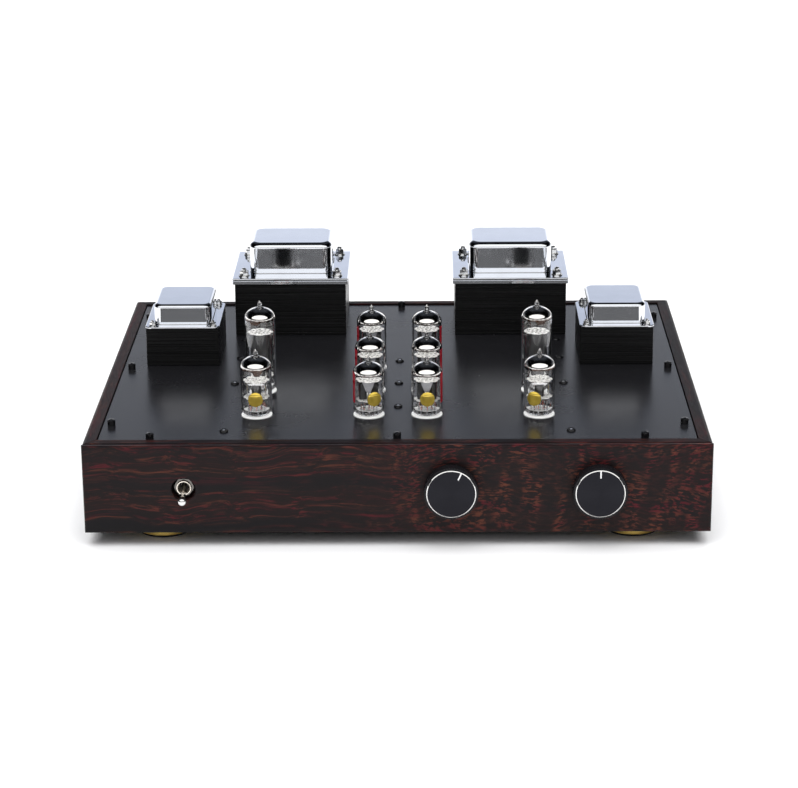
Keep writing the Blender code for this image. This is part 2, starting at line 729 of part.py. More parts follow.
def make_toggle():
    """Bat-handled mains switch, its bushing recessed in the front."""
    tip_middle = LEVER_LENGTH - LEVER_TIP_RADIUS
    neck = 1.7 * MM
    lever = [(0, -3 * MM), (neck, -2 * MM), (neck, 4 * MM)]
    lever += [(LEVER_TIP_RADIUS * math.cos(a), tip_middle + LEVER_TIP_RADIUS * math.sin(a))
              for a in (math.radians(step) for step in (-20, 0, 25, 50, 72))]
    lever.append((0, LEVER_LENGTH))
    pivot = (TOGGLE_X, FRONT_Y + LEVER_PIVOT_DEPTH, CONTROL_Z)
    droop = (FORWARD[0] + math.radians(LEVER_DROOP), 0, 0)
    place("toggle_lever", turned_mesh("toggle_lever", lever, 16), chrome(), pivot, droop,
          smooth=True)

    nut = bmesh.new()
    add_rod(nut, TOGGLE_NUT_CORNER, -TOGGLE_RECESS_DEPTH + GAP,
            -TOGGLE_RECESS_DEPTH + TOGGLE_NUT_HEIGHT, sides=6)
    face_point = (TOGGLE_X, FRONT_Y, CONTROL_Z)
    ring = place("toggle_nut", mesh_from(nut, "toggle_nut"), chrome(), face_point, FORWARD)
    hole = bmesh.new()
    add_rod(hole, TOGGLE_BUSHING_RADIUS + GAP, -10 * MM, 0)
    cut(ring, mesh_from(hole, "toggle_nut_hole"))

    body_front = -TOGGLE_WEB_REAR - GAP
    width, height, depth = TOGGLE_BODY
    body = place("toggle_switch", box_mesh(
        "toggle_switch", (-width / 2, -height / 2, body_front - depth),
        (width / 2, height / 2, body_front)), steel(), face_point, FORWARD)
    bushing = bmesh.new()
    add_rod(bushing, TOGGLE_BUSHING_RADIUS, body_front - MM, -TOGGLE_BUSHING_DEPTH)
    join(body, mesh_from(bushing, "toggle_bushing"))
    bore = turned_mesh("toggle_bore", [(0, -13 * MM), (3.2 * MM, -13 * MM), (3.2 * MM, -8 * MM),
                                       (4.3 * MM, -2 * MM), (0, -2 * MM)], 24)
    cut(body, bore)


# Inside and rear

def make_inside():
    low = (-CIRCUIT_WIDTH / 2, FRONT_Y + CIRCUIT_FRONT, BOARD_Z - CIRCUIT_THICKNESS)
    high = (CIRCUIT_WIDTH / 2, FRONT_Y + CIRCUIT_REAR, BOARD_Z)
    place("circuit_board", box_mesh("circuit_board", low, high),
          material("board", (0.05, 0.2, 0.09), 0.5))
    radius, height = CAPACITOR_RADIUS, CAPACITOR_HEIGHT
    base = FOOT_HEIGHT + BOTTOM_PLATE_RECESS + BOTTOM_PLATE_THICKNESS + GAP
    can = turned_mesh("capacitor", [
        (0, 0), (radius - 0.8 * MM, 0), (radius, 0.8 * MM), (radius, height - 1.2 * MM),
        (radius - 1.2 * MM, height), (0, height),
    ], 20)
    sleeve = material("capacitor_sleeve", (0.03, 0.05, 0.12), 0.4)
    for side, sign in (("left", -1), ("right", 1)):
        place(f"filter_capacitor_{side}", can, sleeve,
              (sign * CAPACITOR_X, TRANSFORMERS[0].y, base), smooth=True)


def rear_part(name, low, high, finish, x):
    """A block on the rear plate; its own +Z points away from the case, with 0 at its face."""
    return place(name, box_mesh(name, low, high), finish,
                 (x, REAR_Y + GAP + REAR_PLATE_THICKNESS + GAP, REAR_MIDDLE_Z), BACKWARD)


def make_rear():
    half_width, half_height = REAR_PLATE_WIDTH / 2, REAR_PLATE_HEIGHT / 2
    plate = place("rear_plate", box_mesh(
        "rear_plate", (-half_width, REAR_Y + GAP, REAR_MIDDLE_Z - half_height),
        (half_width, REAR_Y + GAP + REAR_PLATE_THICKNESS, REAR_MIDDLE_Z + half_height)),
        black_metal())
    openings = bmesh.new()
    for x, width, height in ((INLET_X, 29, 22), (LEFT_SPEAKER_X, 34, 14), (RIGHT_SPEAKER_X, 34, 14),
                             (INPUT_X, 54, 26)):
        reach = Vector((width * MM / 2, 5 * MM, height * MM / 2))
        middle = Vector((x, REAR_Y, REAR_MIDDLE_Z))
        add_box(openings, middle - reach, middle + reach)
    cut(plate, mesh_from(openings, "rear_plate_openings"))
    make_inlet()
    make_speaker_sockets()
    make_input_jacks()


def make_inlet():
    """Mains inlet: a flanged well with three flat contacts."""
    inlet = rear_part("mains_inlet", (-25 * MM, -14 * MM, 0), (25 * MM, 14 * MM, 3 * MM),
                      black_plastic(), INLET_X)
    depth = 19 * MM
    join(inlet, box_mesh("inlet_body", (-14 * MM, -10.5 * MM, -depth), (14 * MM, 10.5 * MM, MM)))
    well_floor = -13.5 * MM
    cut(inlet, box_mesh("inlet_well", (-12.2 * MM, -8.4 * MM, well_floor),
                        (12.2 * MM, 8.4 * MM, 5 * MM)))
    contacts = bmesh.new()
    for x, y in ((-7 * MM, 2 * MM), (0, -2 * MM), (7 * MM, 2 * MM)):
        add_box(contacts, (x - MM, y - 2 * MM, well_floor - MM), (x + MM, y + 2 * MM, -2.8 * MM))
    join(inlet, mesh_from(contacts, "inlet_contacts"))


def make_speaker_sockets():
    """Two insulated 4 mm sockets to each channel, on one moulded strip."""
    for side, x in (("left", LEFT_SPEAKER_X), ("right", RIGHT_SPEAKER_X)):
        strip = rear_part(f"speaker_sockets_{side}", (-20 * MM, -9.5 * MM, 0),
                          (20 * MM, 9.5 * MM, 2.5 * MM), black_plastic(), x)
        top = JACK_REACH - 2 * GAP - REAR_PLATE_THICKNESS
        collars = bmesh.new()
        holes = bmesh.new()
        for offset in (-SPEAKER_SOCKET_PITCH / 2, SPEAKER_SOCKET_PITCH / 2):
            add_rod(collars, 6 * MM, -14 * MM, top, offset, 0, sides=14)
            add_rod(holes, 2.1 * MM, -6 * MM, top + MM, offset, 0, sides=8)
        join(strip, mesh_from(collars, "speaker_collars"))
        cut(strip, mesh_from(holes, "speaker_holes"))


def make_input_jacks():
    """Three pairs of coaxial input jacks in one moulded block."""
    block = rear_part("input_jacks", (-29 * MM, -15 * MM, 0), (29 * MM, 15 * MM, 2 * MM),
                      black_plastic(), INPUT_X)
    join(block, box_mesh("input_block", (-26 * MM, -12 * MM, -12 * MM), (26 * MM, 12 * MM, MM)))
    sleeves = bmesh.new()
    holes = bmesh.new()
    for column in (-1, 0, 1):
        for row in (-1, 1):
            x, y = column * JACK_PITCH_X, row * JACK_PITCH_Z / 2
            add_rod(sleeves, 4.2 * MM, -MM, 9 * MM, x, y, sides=10)
            add_rod(holes, 1.8 * MM, -5 * MM, 10 * MM, x, y, sides=6)
    join(block, mesh_from(sleeves, "input_sleeves"))
    cut(block, mesh_from(holes, "input_holes"))


def main():
    clear_scene()
    make_fascia()
    make_frame()
    make_top_plate()
    make_bottom_plate()
    make_feet()
    make_transformers()
    make_valves()
    make_rotary_controls()
    make_toggle()
    make_inside()
    make_rear()


main()
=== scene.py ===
"""Looks of the stereo valve amplifier: finishes, fine shapes, fittings, studio and camera.

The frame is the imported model's own: +Z up, the front faces -Y and the feet stand on Z = 0.
Shapes and places are in millimetres, and piece() turns them into metres; nodes and lights are
in metres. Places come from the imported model's boxes; the sizes of fine details are named below.
"""
import json
import math
import random
from typing import NamedTuple

import bmesh
import bpy
from mathutils import Matrix, Vector


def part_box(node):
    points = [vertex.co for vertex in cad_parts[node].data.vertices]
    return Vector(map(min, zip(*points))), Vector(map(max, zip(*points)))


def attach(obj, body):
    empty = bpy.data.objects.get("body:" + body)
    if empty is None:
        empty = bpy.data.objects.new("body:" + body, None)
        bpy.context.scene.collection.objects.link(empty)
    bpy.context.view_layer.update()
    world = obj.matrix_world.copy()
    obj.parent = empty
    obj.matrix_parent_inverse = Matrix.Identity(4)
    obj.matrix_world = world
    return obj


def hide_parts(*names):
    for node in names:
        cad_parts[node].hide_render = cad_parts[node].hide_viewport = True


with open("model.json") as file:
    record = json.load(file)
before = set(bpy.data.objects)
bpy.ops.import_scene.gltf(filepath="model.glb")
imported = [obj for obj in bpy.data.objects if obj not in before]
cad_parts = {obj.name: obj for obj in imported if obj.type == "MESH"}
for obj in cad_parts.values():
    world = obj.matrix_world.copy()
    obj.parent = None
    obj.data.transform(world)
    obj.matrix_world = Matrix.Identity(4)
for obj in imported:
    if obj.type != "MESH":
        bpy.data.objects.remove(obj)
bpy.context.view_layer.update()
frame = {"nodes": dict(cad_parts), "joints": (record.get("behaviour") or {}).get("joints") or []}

MM = 0.001  # metres
PAST = 1  # how far a cutter reaches past what it cuts
SIDES = (("left", -1), ("right", 1))

# Wooden case
FASCIA_ROUND = 2.2
FASCIA_JOINT = 0.3  # small chamfers that meet at the fascia's glue line
SHAFT_HOLE_RADIUS = 5.2
RECESS_RADIUS = 8.4

SHEET_PITCH = 0.5  # of the transformers' laminations

# Valves, with heights above the glass base
PIN_LENGTH = 6.5
PIN_CIRCLE_RADIUS = 5.95
PIN_RADIUS = 0.5
GLASS_WALL = 1.0
DOME_HEIGHT = 7.6
NIPPLE_HEIGHT = 5.0
SOCKET_HEIGHT = 12

# Fasteners on the top plate: (distance from the middle, distance behind the front face)
CAP_SCREWS = ((0, 19.5), (170.5, 19.5), (200.3, 48), (200.3, 176), (200.3, 304), (171, 336.5),
              (0, 336.5))
FLAT_SCREWS = ((0, 86), (0, 139), (0, 192), (120.5, 34), (120.5, 139), (120.5, 200), (120.5, 246))

# Rear sockets
REAR_GAP = 0.3
JACK_PITCH_X = 18
JACK_PITCH_Z = 15
SPEAKER_PITCH = 19

# Camera, from the middle of the case's lower front edge
CAMERA_SIDE = 23.0
CAMERA_DISTANCE = 1601.9
CAMERA_HEIGHT = 639.4
CAMERA_YAW = 0.759
CAMERA_PITCH = -18.578
CAMERA_ROLL = 0.421
CAMERA_LENS = 112.78  # millimetres, on a sensor 36 mm wide


def box(node):
    """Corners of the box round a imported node."""
    lowest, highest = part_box(node)
    return lowest / MM, highest / MM


def low(node):
    return box(node)[0]


def high(node):
    return box(node)[1]


def middle(node):
    return (low(node) + high(node)) / 2


FRONT_Y = low("front_fascia").y
CASE_BOTTOM = low("front_fascia").z
PLATE_TOP = high("top_plate").z


# Finishes

class Nodes:
    """Adds and links nodes in one node tree."""

    def __init__(self, tree):
        self.tree = tree

    def node(self, kind, inputs=None, **settings):
        made = self.tree.nodes.new(kind)
        for setting, value in settings.items():
            setattr(made, setting, value)
        for socket, value in (inputs or {}).items():
            self.feed(made.inputs[socket], value)
        return made

    def feed(self, socket, value):
        """Link an output to a socket, or set the socket's own value."""
        if isinstance(value, bpy.types.NodeSocket):
            self.tree.links.new(value, socket)
        else:
            socket.default_value = value

    def math(self, operation, first, second=0.0):
        return self.node("ShaderNodeMath", {0: first, 1: second},
                         operation=operation).outputs["Value"]

    def fit(self, value, from_low, from_high, to_low=0.0, to_high=1.0):
        """Map a range smoothly onto another."""
        made = self.node("ShaderNodeMapRange", {
            "Value": value, "From Min": from_low, "From Max": from_high,
            "To Min": to_low, "To Max": to_high}, interpolation_type="SMOOTHSTEP")
        return made.outputs["Result"]

    def mix(self, factor, first, second):
        made = self.node("ShaderNodeMix", data_type="RGBA")
        for socket, value in ((0, factor), (6, first), (7, second)):
            if isinstance(value, tuple):
                value = (*value, 1.0)
            self.feed(made.inputs[socket], value)
        return made.outputs[2]


class Finish(Nodes):
    """A procedural material built around one Principled shader."""

    def __init__(self, name, colour, roughness, metallic=0.0, sockets=None):
        self.material = bpy.data.materials.new(name)
        self.material.use_nodes = True
        super().__init__(self.material.node_tree)
        self.shader = self.tree.nodes["Principled BSDF"]
        values = {"Base Color": (*colour, 1.0), "Roughness": roughness, "Metallic": metallic}
        for socket, value in {**values, **(sockets or {})}.items():
            self.feed(self.shader.inputs[socket], value)

    def place(self):
        return self.node("ShaderNodeTexCoord").outputs["Object"]

    def stretch(self, vector, scale, rotation=(0, 0, 0)):
        return self.node("ShaderNodeMapping", {"Vector": vector, "Scale": scale,
                                               "Rotation": rotation}).outputs["Vector"]

    def noise(self, vector, scale=1.0, detail=3.0, roughness=0.5):
        return self.node("ShaderNodeTexNoise", {"Vector": vector, "Scale": scale, "Detail": detail,
                                                "Roughness": roughness}).outputs["Fac"]

    def colour(self, output):
        self.feed(self.shader.inputs["Base Color"], output)

    def rough(self, output):
        self.feed(self.shader.inputs["Roughness"], output)

    def bump(self, height, distance, strength=1.0):
        """Distance is in millimetres."""
        made = self.node("ShaderNodeBump", {"Height": height, "Distance": distance * MM,
                                            "Strength": strength})
        if self.shader.inputs["Normal"].is_linked:
            self.feed(made.inputs["Normal"], self.shader.inputs["Normal"].links[0].from_socket)
        self.feed(self.shader.inputs["Normal"], made.outputs["Normal"])

    def uneven(self, smoothest, roughest, scale, colour=None, shade=0.85):
        """Vary the roughness in soft patches, and the colour a little with it."""
        patches = self.noise(self.place(), scale, 4.0, 0.6)
        self.rough(self.fit(patches, 0.3, 0.7, smoothest, roughest))
        if colour:
            darker = tuple(channel * shade for channel in colour)
            self.colour(self.mix(self.fit(patches, 0.25, 0.75), darker, colour))


def wood(name, grain_scale, flecks=False, gloss=0.1, streak=0.8):
    """Black-brown hardwood with red streaks; flecks adds a short banded figure to the right."""
    finish = Finish(name, (0.02, 0.014, 0.012), 0.45, sockets={"Specular IOR Level": gloss})
    place = finish.place()
    drift = finish.node("ShaderNodeTexNoise", {"Vector": place, "Scale": 16.0, "Detail": 2.0})
    centred = finish.node("ShaderNodeVectorMath", {0: drift.outputs["Color"], 1: (0.5, 0.5, 0.5)},
                          operation="SUBTRACT").outputs["Vector"]
    wavy = finish.node("ShaderNodeVectorMath", {0: centred, 1: (0.024, 0.024, 0.024), 2: place},
                       operation="MULTIPLY_ADD").outputs["Vector"]
    along = Vector(grain_scale)
    streaks = finish.noise(finish.stretch(wavy, along), 1.0, 5.0, 0.7)
    areas = finish.noise(finish.stretch(wavy, along * 0.14), 1.0, 2.0)
    red = finish.math("MULTIPLY", finish.fit(streaks, 0.47, 0.68, 0.0, streak),
                      finish.fit(areas, 0.36, 0.56))
    if flecks:
        dashes = finish.noise(finish.stretch(wavy, (170, 680, 680)), 1.0, 3.0, 0.62)
        bands = finish.noise(finish.stretch(wavy, (95, 30, 30), (0, math.radians(40), 0)), 1.0, 1.0)
        figure = finish.math("MULTIPLY", finish.fit(dashes, 0.455, 0.63, 0.0, 0.95),
                             finish.fit(bands, 0.35, 0.6, 0.12, 1.0))
        side = finish.node("ShaderNodeSeparateXYZ", {"Vector": wavy}).outputs["X"]
        share = finish.fit(side, -0.05, 0.05)
        red = finish.math("ADD", finish.math("MULTIPLY", red, finish.math("SUBTRACT", 1.0, share)),
                          finish.math("MULTIPLY", figure, share))
    hue = finish.noise(finish.stretch(wavy, along * 0.4), 1.0, 2.0)
    warm = finish.mix(finish.fit(hue, 0.35, 0.65), (0.085, 0.009, 0.014), (0.1, 0.03, 0.018))
    ground = finish.mix(finish.fit(areas, 0.3, 0.7), (0.007, 0.006, 0.007), (0.012, 0.0068, 0.0068))
    finish.colour(finish.mix(red, ground, warm))
    pores = finish.noise(finish.stretch(wavy, along * 5), 1.0, 2.0)
    finish.rough(finish.fit(pores, 0.35, 0.7, 0.34, 0.46))
    finish.bump(pores, 0.03, 0.5)
    return finish.material


def black_anodised(name, grain=2600.0, specular=0.5):
    """Bead-blasted black aluminium."""
    finish = Finish(name, (0.014, 0.014, 0.016), 0.33, sockets={"Specular IOR Level": specular})
    finish.uneven(0.23, 0.28, 14.0, (0.008, 0.008, 0.0095), 0.8)
    finish.bump(finish.noise(finish.place(), grain, 2.0), 0.012, 0.15)
    return finish.material


def black_coat(name):
    """Black powder coat on steel."""
    finish = Finish(name, (0.004, 0.004, 0.005), 0.3, sockets={"Specular IOR Level": 0.6})
    finish.uneven(0.2, 0.3, 60.0, (0.005, 0.005, 0.006))
    finish.bump(finish.noise(finish.place(), 1500.0, 3.0), 0.03, 0.4)
    return finish.material


def polished(name, colour, smoothest=0.03, roughest=0.09, waviness=0.25):
    """Bright plated metal with faint smears and the slight waves of pressed sheet."""
    finish = Finish(name, colour, smoothest, 1.0)
    finish.uneven(smoothest, roughest, 42.0, colour, 0.94)
    finish.bump(finish.noise(finish.place(), 55.0, 1.0), 0.06, waviness)
    return finish.material


def turned_metal(name, colour, roughness, grooves=2400.0):
    """Machined metal with fine turning lines along its axis."""
    finish = Finish(name, colour, roughness, 1.0)
    lines = finish.noise(finish.stretch(finish.place(), (40, 40, grooves)), 1.0, 2.0)
    finish.rough(finish.fit(lines, 0.3, 0.7, roughness * 0.8, roughness * 1.3))
    finish.bump(lines, 0.01, 0.4)
    shade = tuple(channel * 0.88 for channel in colour)
    finish.colour(finish.mix(lines, shade, colour))
    return finish.material


def varnished_sheets():
    """Edges of stacked transformer sheets under black varnish."""
    finish = Finish("varnished_sheets", (0.004, 0.004, 0.005), 0.25,
                    sockets={"Specular IOR Level": 0.24})
    edges = finish.noise(finish.stretch(finish.place(), (9, 9, 1500)), 1.0, 3.0, 0.6)
    finish.colour(finish.mix(finish.fit(edges, 0.5, 0.8), (0.003, 0.003, 0.0032),
                             (0.012, 0.012, 0.013)))
    finish.rough(finish.fit(edges, 0.3, 0.7, 0.2, 0.42))
    finish.bump(edges, 0.05, 0.5)
    return finish.material


def winding():
    finish = Finish("enamelled_wire", (0.4, 0.14, 0.05), 0.35, 0.7)
    turns = finish.noise(finish.stretch(finish.place(), (900, 900, 30)), 1.0, 2.0)
    finish.colour(finish.mix(turns, (0.16, 0.05, 0.02), (0.5, 0.19, 0.07)))
    finish.bump(turns, 0.1, 0.6)
    return finish.material


def glass():
    """Clear glass with very faint drawing waves."""
    finish = Finish("bulb_glass", (1.0, 1.0, 1.0), 0.0, 0.0,
                    {"Transmission Weight": 1.0, "IOR": 1.45})
    waves = finish.noise(finish.stretch(finish.place(), (60, 60, 20)), 1.0, 0.0)
    finish.bump(waves, 0.05, 0.15)
    return finish.material


def getter():
    """Dark getter mirror inside a dome; Z = 0 is the bulb's shoulder. Its lower edge thins to
    brown and then to nothing, with a longer tongue at the front."""
    metal, brown = (0.98, 0.96, 0.93), (0.03, 0.011, 0.004)
    finish = Finish("getter_mirror", metal, 0.03, 1.0)
    axes = finish.node("ShaderNodeSeparateXYZ", {"Vector": finish.place()}).outputs
    aside = finish.fit(finish.math("ABSOLUTE", axes["X"]), 0.0, 4.4 * MM, 1.0, 0.0)
    tongue = finish.math("MULTIPLY", aside, finish.fit(axes["Y"], -7 * MM, 0.0, 5.5 * MM, 0.0))
    ragged = finish.math("MULTIPLY", finish.noise(finish.place(), 420.0, 3.0), 1.8 * MM)
    ragged_height = finish.math("ADD", axes["Z"], ragged)
    finish.colour(finish.mix(finish.fit(ragged_height, 0.4 * MM, 2.2 * MM), brown, metal))
    level = finish.math("ADD", ragged_height, tongue)
    finish.feed(finish.shader.inputs["Alpha"], finish.fit(level, -0.5 * MM, 0.5 * MM))
    return finish.material


def mica():
    """White mica sheet, mottled where it is split."""
    finish = Finish("mica", (0.85, 0.84, 0.8), 0.22)
    scales = finish.noise(finish.place(), 900.0, 3.0)
    finish.colour(finish.mix(finish.fit(scales, 0.35, 0.6), (0.5, 0.48, 0.45), (0.9, 0.89, 0.86)))
    finish.rough(finish.fit(scales, 0.3, 0.7, 0.15, 0.35))
    finish.bump(scales, 0.05, 0.5)
    return finish.material


def ceramic():
    finish = Finish("glazed_ceramic", (0.93, 0.93, 0.92), 0.18)
    finish.uneven(0.12, 0.26, 180.0, (1.0, 1.0, 0.99), 0.97)
    finish.bump(finish.noise(finish.place(), 420.0, 2.0), 0.03, 0.3)
    return finish.material


def spun_face():
    """Black knob face with fine turned circles."""
    finish = Finish("spun_black", (0.016, 0.016, 0.02), 0.3, 0.9,
                    {"Anisotropic": 0.9, "Anisotropic Rotation": 0.25})
    tangent = finish.node("ShaderNodeTangent", direction_type="RADIAL", axis="Z")
    finish.feed(finish.shader.inputs["Tangent"], tangent.outputs["Tangent"])
    circles = finish.node("ShaderNodeTexWave", {
        "Vector": finish.place(), "Scale": 900.0, "Distortion": 0.6, "Detail": 2.0,
    }, wave_type="RINGS", rings_direction="Z").outputs["Fac"]
    finish.rough(finish.fit(circles, 0.0, 1.0, 0.27, 0.36))
    finish.bump(circles, 0.004, 0.4)
    return finish.material


def plastic(name, colour, roughness=0.3):
    """Moulded plastic with a faint texture."""
    finish = Finish(name, colour, roughness)
    finish.uneven(roughness * 0.85, roughness * 1.2, 90.0, colour, 0.88)
    finish.bump(finish.noise(finish.place(), 1100.0, 2.0), 0.015, 0.4)
    return finish.material


def foil():
    """Yellow metal foil, slightly creased."""
    finish = Finish("yellow_foil", (0.8, 0.55, 0.07), 0.12, 0.7)
    creases = finish.noise(finish.place(), 260.0, 3.0)
    finish.colour(finish.mix(creases, (0.55, 0.36, 0.03), (1.0, 0.76, 0.15)))
    finish.rough(finish.fit(creases, 0.3, 0.7, 0.07, 0.16))
    finish.bump(creases, 0.08, 0.5)
    return finish.material


def sheet_metal(name, colour, roughness=0.34, metallic=0.8):
    """Plain pressed sheet inside a valve, dulled in patches."""
    finish = Finish(name, colour, roughness, metallic)
    finish.uneven(roughness * 0.8, roughness * 1.3, 240.0, colour, 0.75)
    return finish.material


def circuit_board():
    """Green solder mask with faint copper tracks beneath it."""
    finish = Finish("solder_mask", (0.02, 0.1, 0.04), 0.35)
    tracks = finish.node("ShaderNodeTexBrick", {
        "Vector": finish.place(), "Scale": 90.0, "Color1": (0.01, 0.07, 0.03, 1),
        "Color2": (0.02, 0.1, 0.04, 1), "Mortar": (0.05, 0.17, 0.07, 1), "Mortar Size": 0.06,
    })
    finish.colour(tracks.outputs["Color"])
    finish.bump(tracks.outputs["Fac"], 0.05, 0.5)
    return finish.material


# Mesh helpers

def mesh_from(work):
    bmesh.ops.recalc_face_normals(work, faces=work.faces)
    data = bpy.data.meshes.new("shape")
    work.to_mesh(data)
    work.free()
    return data


def turned(outline, sides=48, ripple=None):
    """Spin a closed outline of (radius, height) about Z; ripple(angle, radius) may give
    another radius."""
    work = bmesh.new()
    rings = []
    for radius, height in outline:
        if radius == 0:
            rings.append([work.verts.new((0, 0, height))])
            continue
        ring = []
        for step in range(sides):
            angle = 2 * math.pi * step / sides
            reach = ripple(angle, radius) if ripple else radius
            ring.append(work.verts.new((reach * math.cos(angle), reach * math.sin(angle), height)))
        rings.append(ring)
    for first, second in zip(rings, rings[1:] + rings[:1]):
        if len(first) == len(second) == 1:
            continue
        for step in range(sides):
            corners = [first[step % len(first)], first[(step + 1) % len(first)],
                       second[(step + 1) % len(second)], second[step % len(second)]]
            work.faces.new(list(dict.fromkeys(corners)))
    return mesh_from(work)


def cuboid(lowest, highest):
    """Work on a box between two corners."""
    lowest, highest = Vector(lowest), Vector(highest)
    work = bmesh.new()
    shape = Matrix.Translation((lowest + highest) / 2) @ Matrix.Diagonal((*(highest - lowest), 1))
    bmesh.ops.create_cube(work, size=1, matrix=shape)
    return work


def rounded(work, edges, offset, segments):
    bmesh.ops.bevel(work, geom=edges, offset=offset, segments=segments, profile=0.5,
                    affect="EDGES")


def block(lowest, highest, edge=0.0, segments=2):
    """A box between two corners with rounded edges."""
    work = cuboid(lowest, highest)
    if edge:
        rounded(work, work.edges[:], edge, segments)
    return mesh_from(work)


def rod(radius, bottom, top, sides=24, edge=0.0):
    """A cylinder along Z, with chamfered rims if it has an edge."""
    if not edge:
        return turned([(0, bottom), (radius, bottom), (radius, top), (0, top)], sides)
    return turned([(0, bottom), (radius - edge, bottom), (radius, bottom + edge),
                   (radius, top - edge), (radius - edge, top), (0, top)], sides)


def rounded_rectangle(width, depth, radius, height, steps=8):
    points = []
    for corner, (sign_x, sign_y) in enumerate(((1, 1), (-1, 1), (-1, -1), (1, -1))):
        for step in range(steps + 1):
            angle = math.pi / 2 * (corner + step / steps)
            points.append((sign_x * (width / 2 - radius) + radius * math.cos(angle),
                           sign_y * (depth / 2 - radius) + radius * math.sin(angle), height))
    return points


def lofted(loops, ring=False):
    """Join equal loops of points in order; ring joins the last to the first."""
    work = bmesh.new()
    rings = [[work.verts.new(point) for point in loop] for loop in loops]
    for first, second in zip(rings, rings[1:] + (rings[:1] if ring else [])):
        for step in range(len(first)):
            after = (step + 1) % len(first)
            work.faces.new((first[step], first[after], second[after], second[step]))
    if not ring:
        work.faces.new(rings[0])
        work.faces.new(rings[-1])
    return mesh_from(work)


def gathered(parts):
    """One mesh from others; each may come as a (mesh, place) pair."""
    work = bmesh.new()
    for part in parts:
        data, matrix = part if isinstance(part, tuple) else (part, Matrix())
        before = len(work.verts)
        work.from_mesh(data)
        work.verts.ensure_lookup_table()
        bmesh.ops.transform(work, verts=work.verts[before:], matrix=matrix)
    return mesh_from(work)


def at(x, y, z):
    return Matrix.Translation((x, y, z))


def spread(count, reach, turn=0.0):
    """Places evenly round a circle."""
    for number in range(count):
        angle = turn + 2 * math.pi * number / count
        yield at(reach * math.cos(angle), reach * math.sin(angle), 0)


def pin_places():
    """Nine of ten even places: the gap keys the valve."""
    return list(spread(10, PIN_CIRCLE_RADIUS, math.radians(36 - 90)))[:9]


def rotated(degrees, axis):
    return Matrix.Rotation(math.radians(degrees), 4, axis)


def in_metres(place):
    return Matrix.Translation(place.translation * MM) @ place.to_3x3().to_4x4()


def added(name, data):
    """A new object in the scene."""
    item = bpy.data.objects.new(name, data)
    bpy.context.scene.collection.objects.link(item)
    return item


def carved(data, cutters):
    """Cut other meshes out of a mesh."""
    body = added("carved", data)
    helpers = [body]
    for number, cutter in enumerate(cutters):
        helper = added(f"cutter_{number}", cutter)
        helpers.append(helper)
        change = body.modifiers.new("cut", "BOOLEAN")
        change.operation = "DIFFERENCE"
        change.object = helper
        change.solver = "EXACT"
    bpy.context.view_layer.update()
    result = bpy.data.meshes.new_from_object(
        body.evaluated_get(bpy.context.evaluated_depsgraph_get()))
    for helper in helpers:
        bpy.data.objects.remove(helper, do_unlink=True)
    return result


def piece(name, data, finish, body="chassis", place=None, stands_for=(), sharp=35):
    """Add a piece of the object, riding on a body and taking the finish it is given."""
    data.transform(Matrix.Scale(MM, 4))
    data.name = name
    item = added(name, data)
    data.materials.clear()
    data.materials.append(finish)
    data.shade_smooth()
    data.set_sharp_from_angle(angle=math.radians(sharp))
    flats = item.modifiers.new("flat_faces", "WEIGHTED_NORMAL")
    flats.keep_sharp = True
    if place is not None:
        item.matrix_world = in_metres(place)
    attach(item, body)
    if stands_for:
        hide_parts(*stands_for)
    return item


def repaint(finish, *nodes):
    """Give CAD nodes that stay as they are a better finish."""
    for name in nodes:
        data = frame["nodes"][name].data
        data.materials.clear()
        data.materials.append(finish)


# Wooden case

def facing_hole(radius, x, z, y_from, y_to, sides=64):
    """A cutter along Y through the front at one control."""
    turn = rotated(-90, "X")
    return gathered([(rod(radius, y_from, y_to, sides), at(x, 0, z) @ turn)])


def control(node):
    """Middle of a front control, on the fascia's face."""
    spot = middle(node)
    return Vector((spot.x, FRONT_Y, spot.z))


def make_fascia(finish):
    lowest, highest = box("front_fascia")
    work = cuboid(lowest, highest)
    front = [edge for edge in work.edges if all(v.co.y < lowest.y + 1 for v in edge.verts)]
    rounded(work, front, FASCIA_ROUND, 7)
    back = [edge for edge in work.edges if all(v.co.y > highest.y - 0.01 for v in edge.verts)]
    rounded(work, back, FASCIA_JOINT, 2)
    holes = []
    for node, radius in (("toggle_nut", RECESS_RADIUS), ("volume_knob", SHAFT_HOLE_RADIUS),
                         ("selector_knob", SHAFT_HOLE_RADIUS)):
        spot = control(node)
        holes.append(facing_hole(radius, spot.x, spot.z, lowest.y - PAST, highest.y + PAST))
    piece("fascia", carved(mesh_from(work), holes), finish, stands_for=["front_fascia"])


def make_boards(long_finish, side_finish):
    """The rebated boards keep their shapes; only their finish changes."""
    repaint(long_finish, "front_board", "rear_board")
    repaint(side_finish, "left_side_board", "right_side_board")


# Plates, screws and feet

def make_top_plate(finish):
    lowest, highest = box("top_plate")
    cutters = []
    for name in valve_names():
        spot = middle(name)
        radius = (high(name).x - low(name).x) / 2 + 0.5
        hole = rod(radius, lowest.z - PAST, highest.z + PAST, 64)
        cutters.append(gathered([(hole, at(spot.x, spot.y, 0))]))
    for kind in ("power", "output"):
        for side, _ in SIDES:
            coil_low, coil_high = box(f"{kind}_transformer_{side}_coil")
            cutters.append(block((coil_low.x - 1, coil_low.y - 1, lowest.z - PAST),
                                 (coil_high.x + 1, coil_high.y + 1, highest.z + PAST)))
    plate = block(lowest, highest, 0.35, 2)
    piece("top_sheet", carved(plate, cutters), finish, stands_for=["top_plate"])


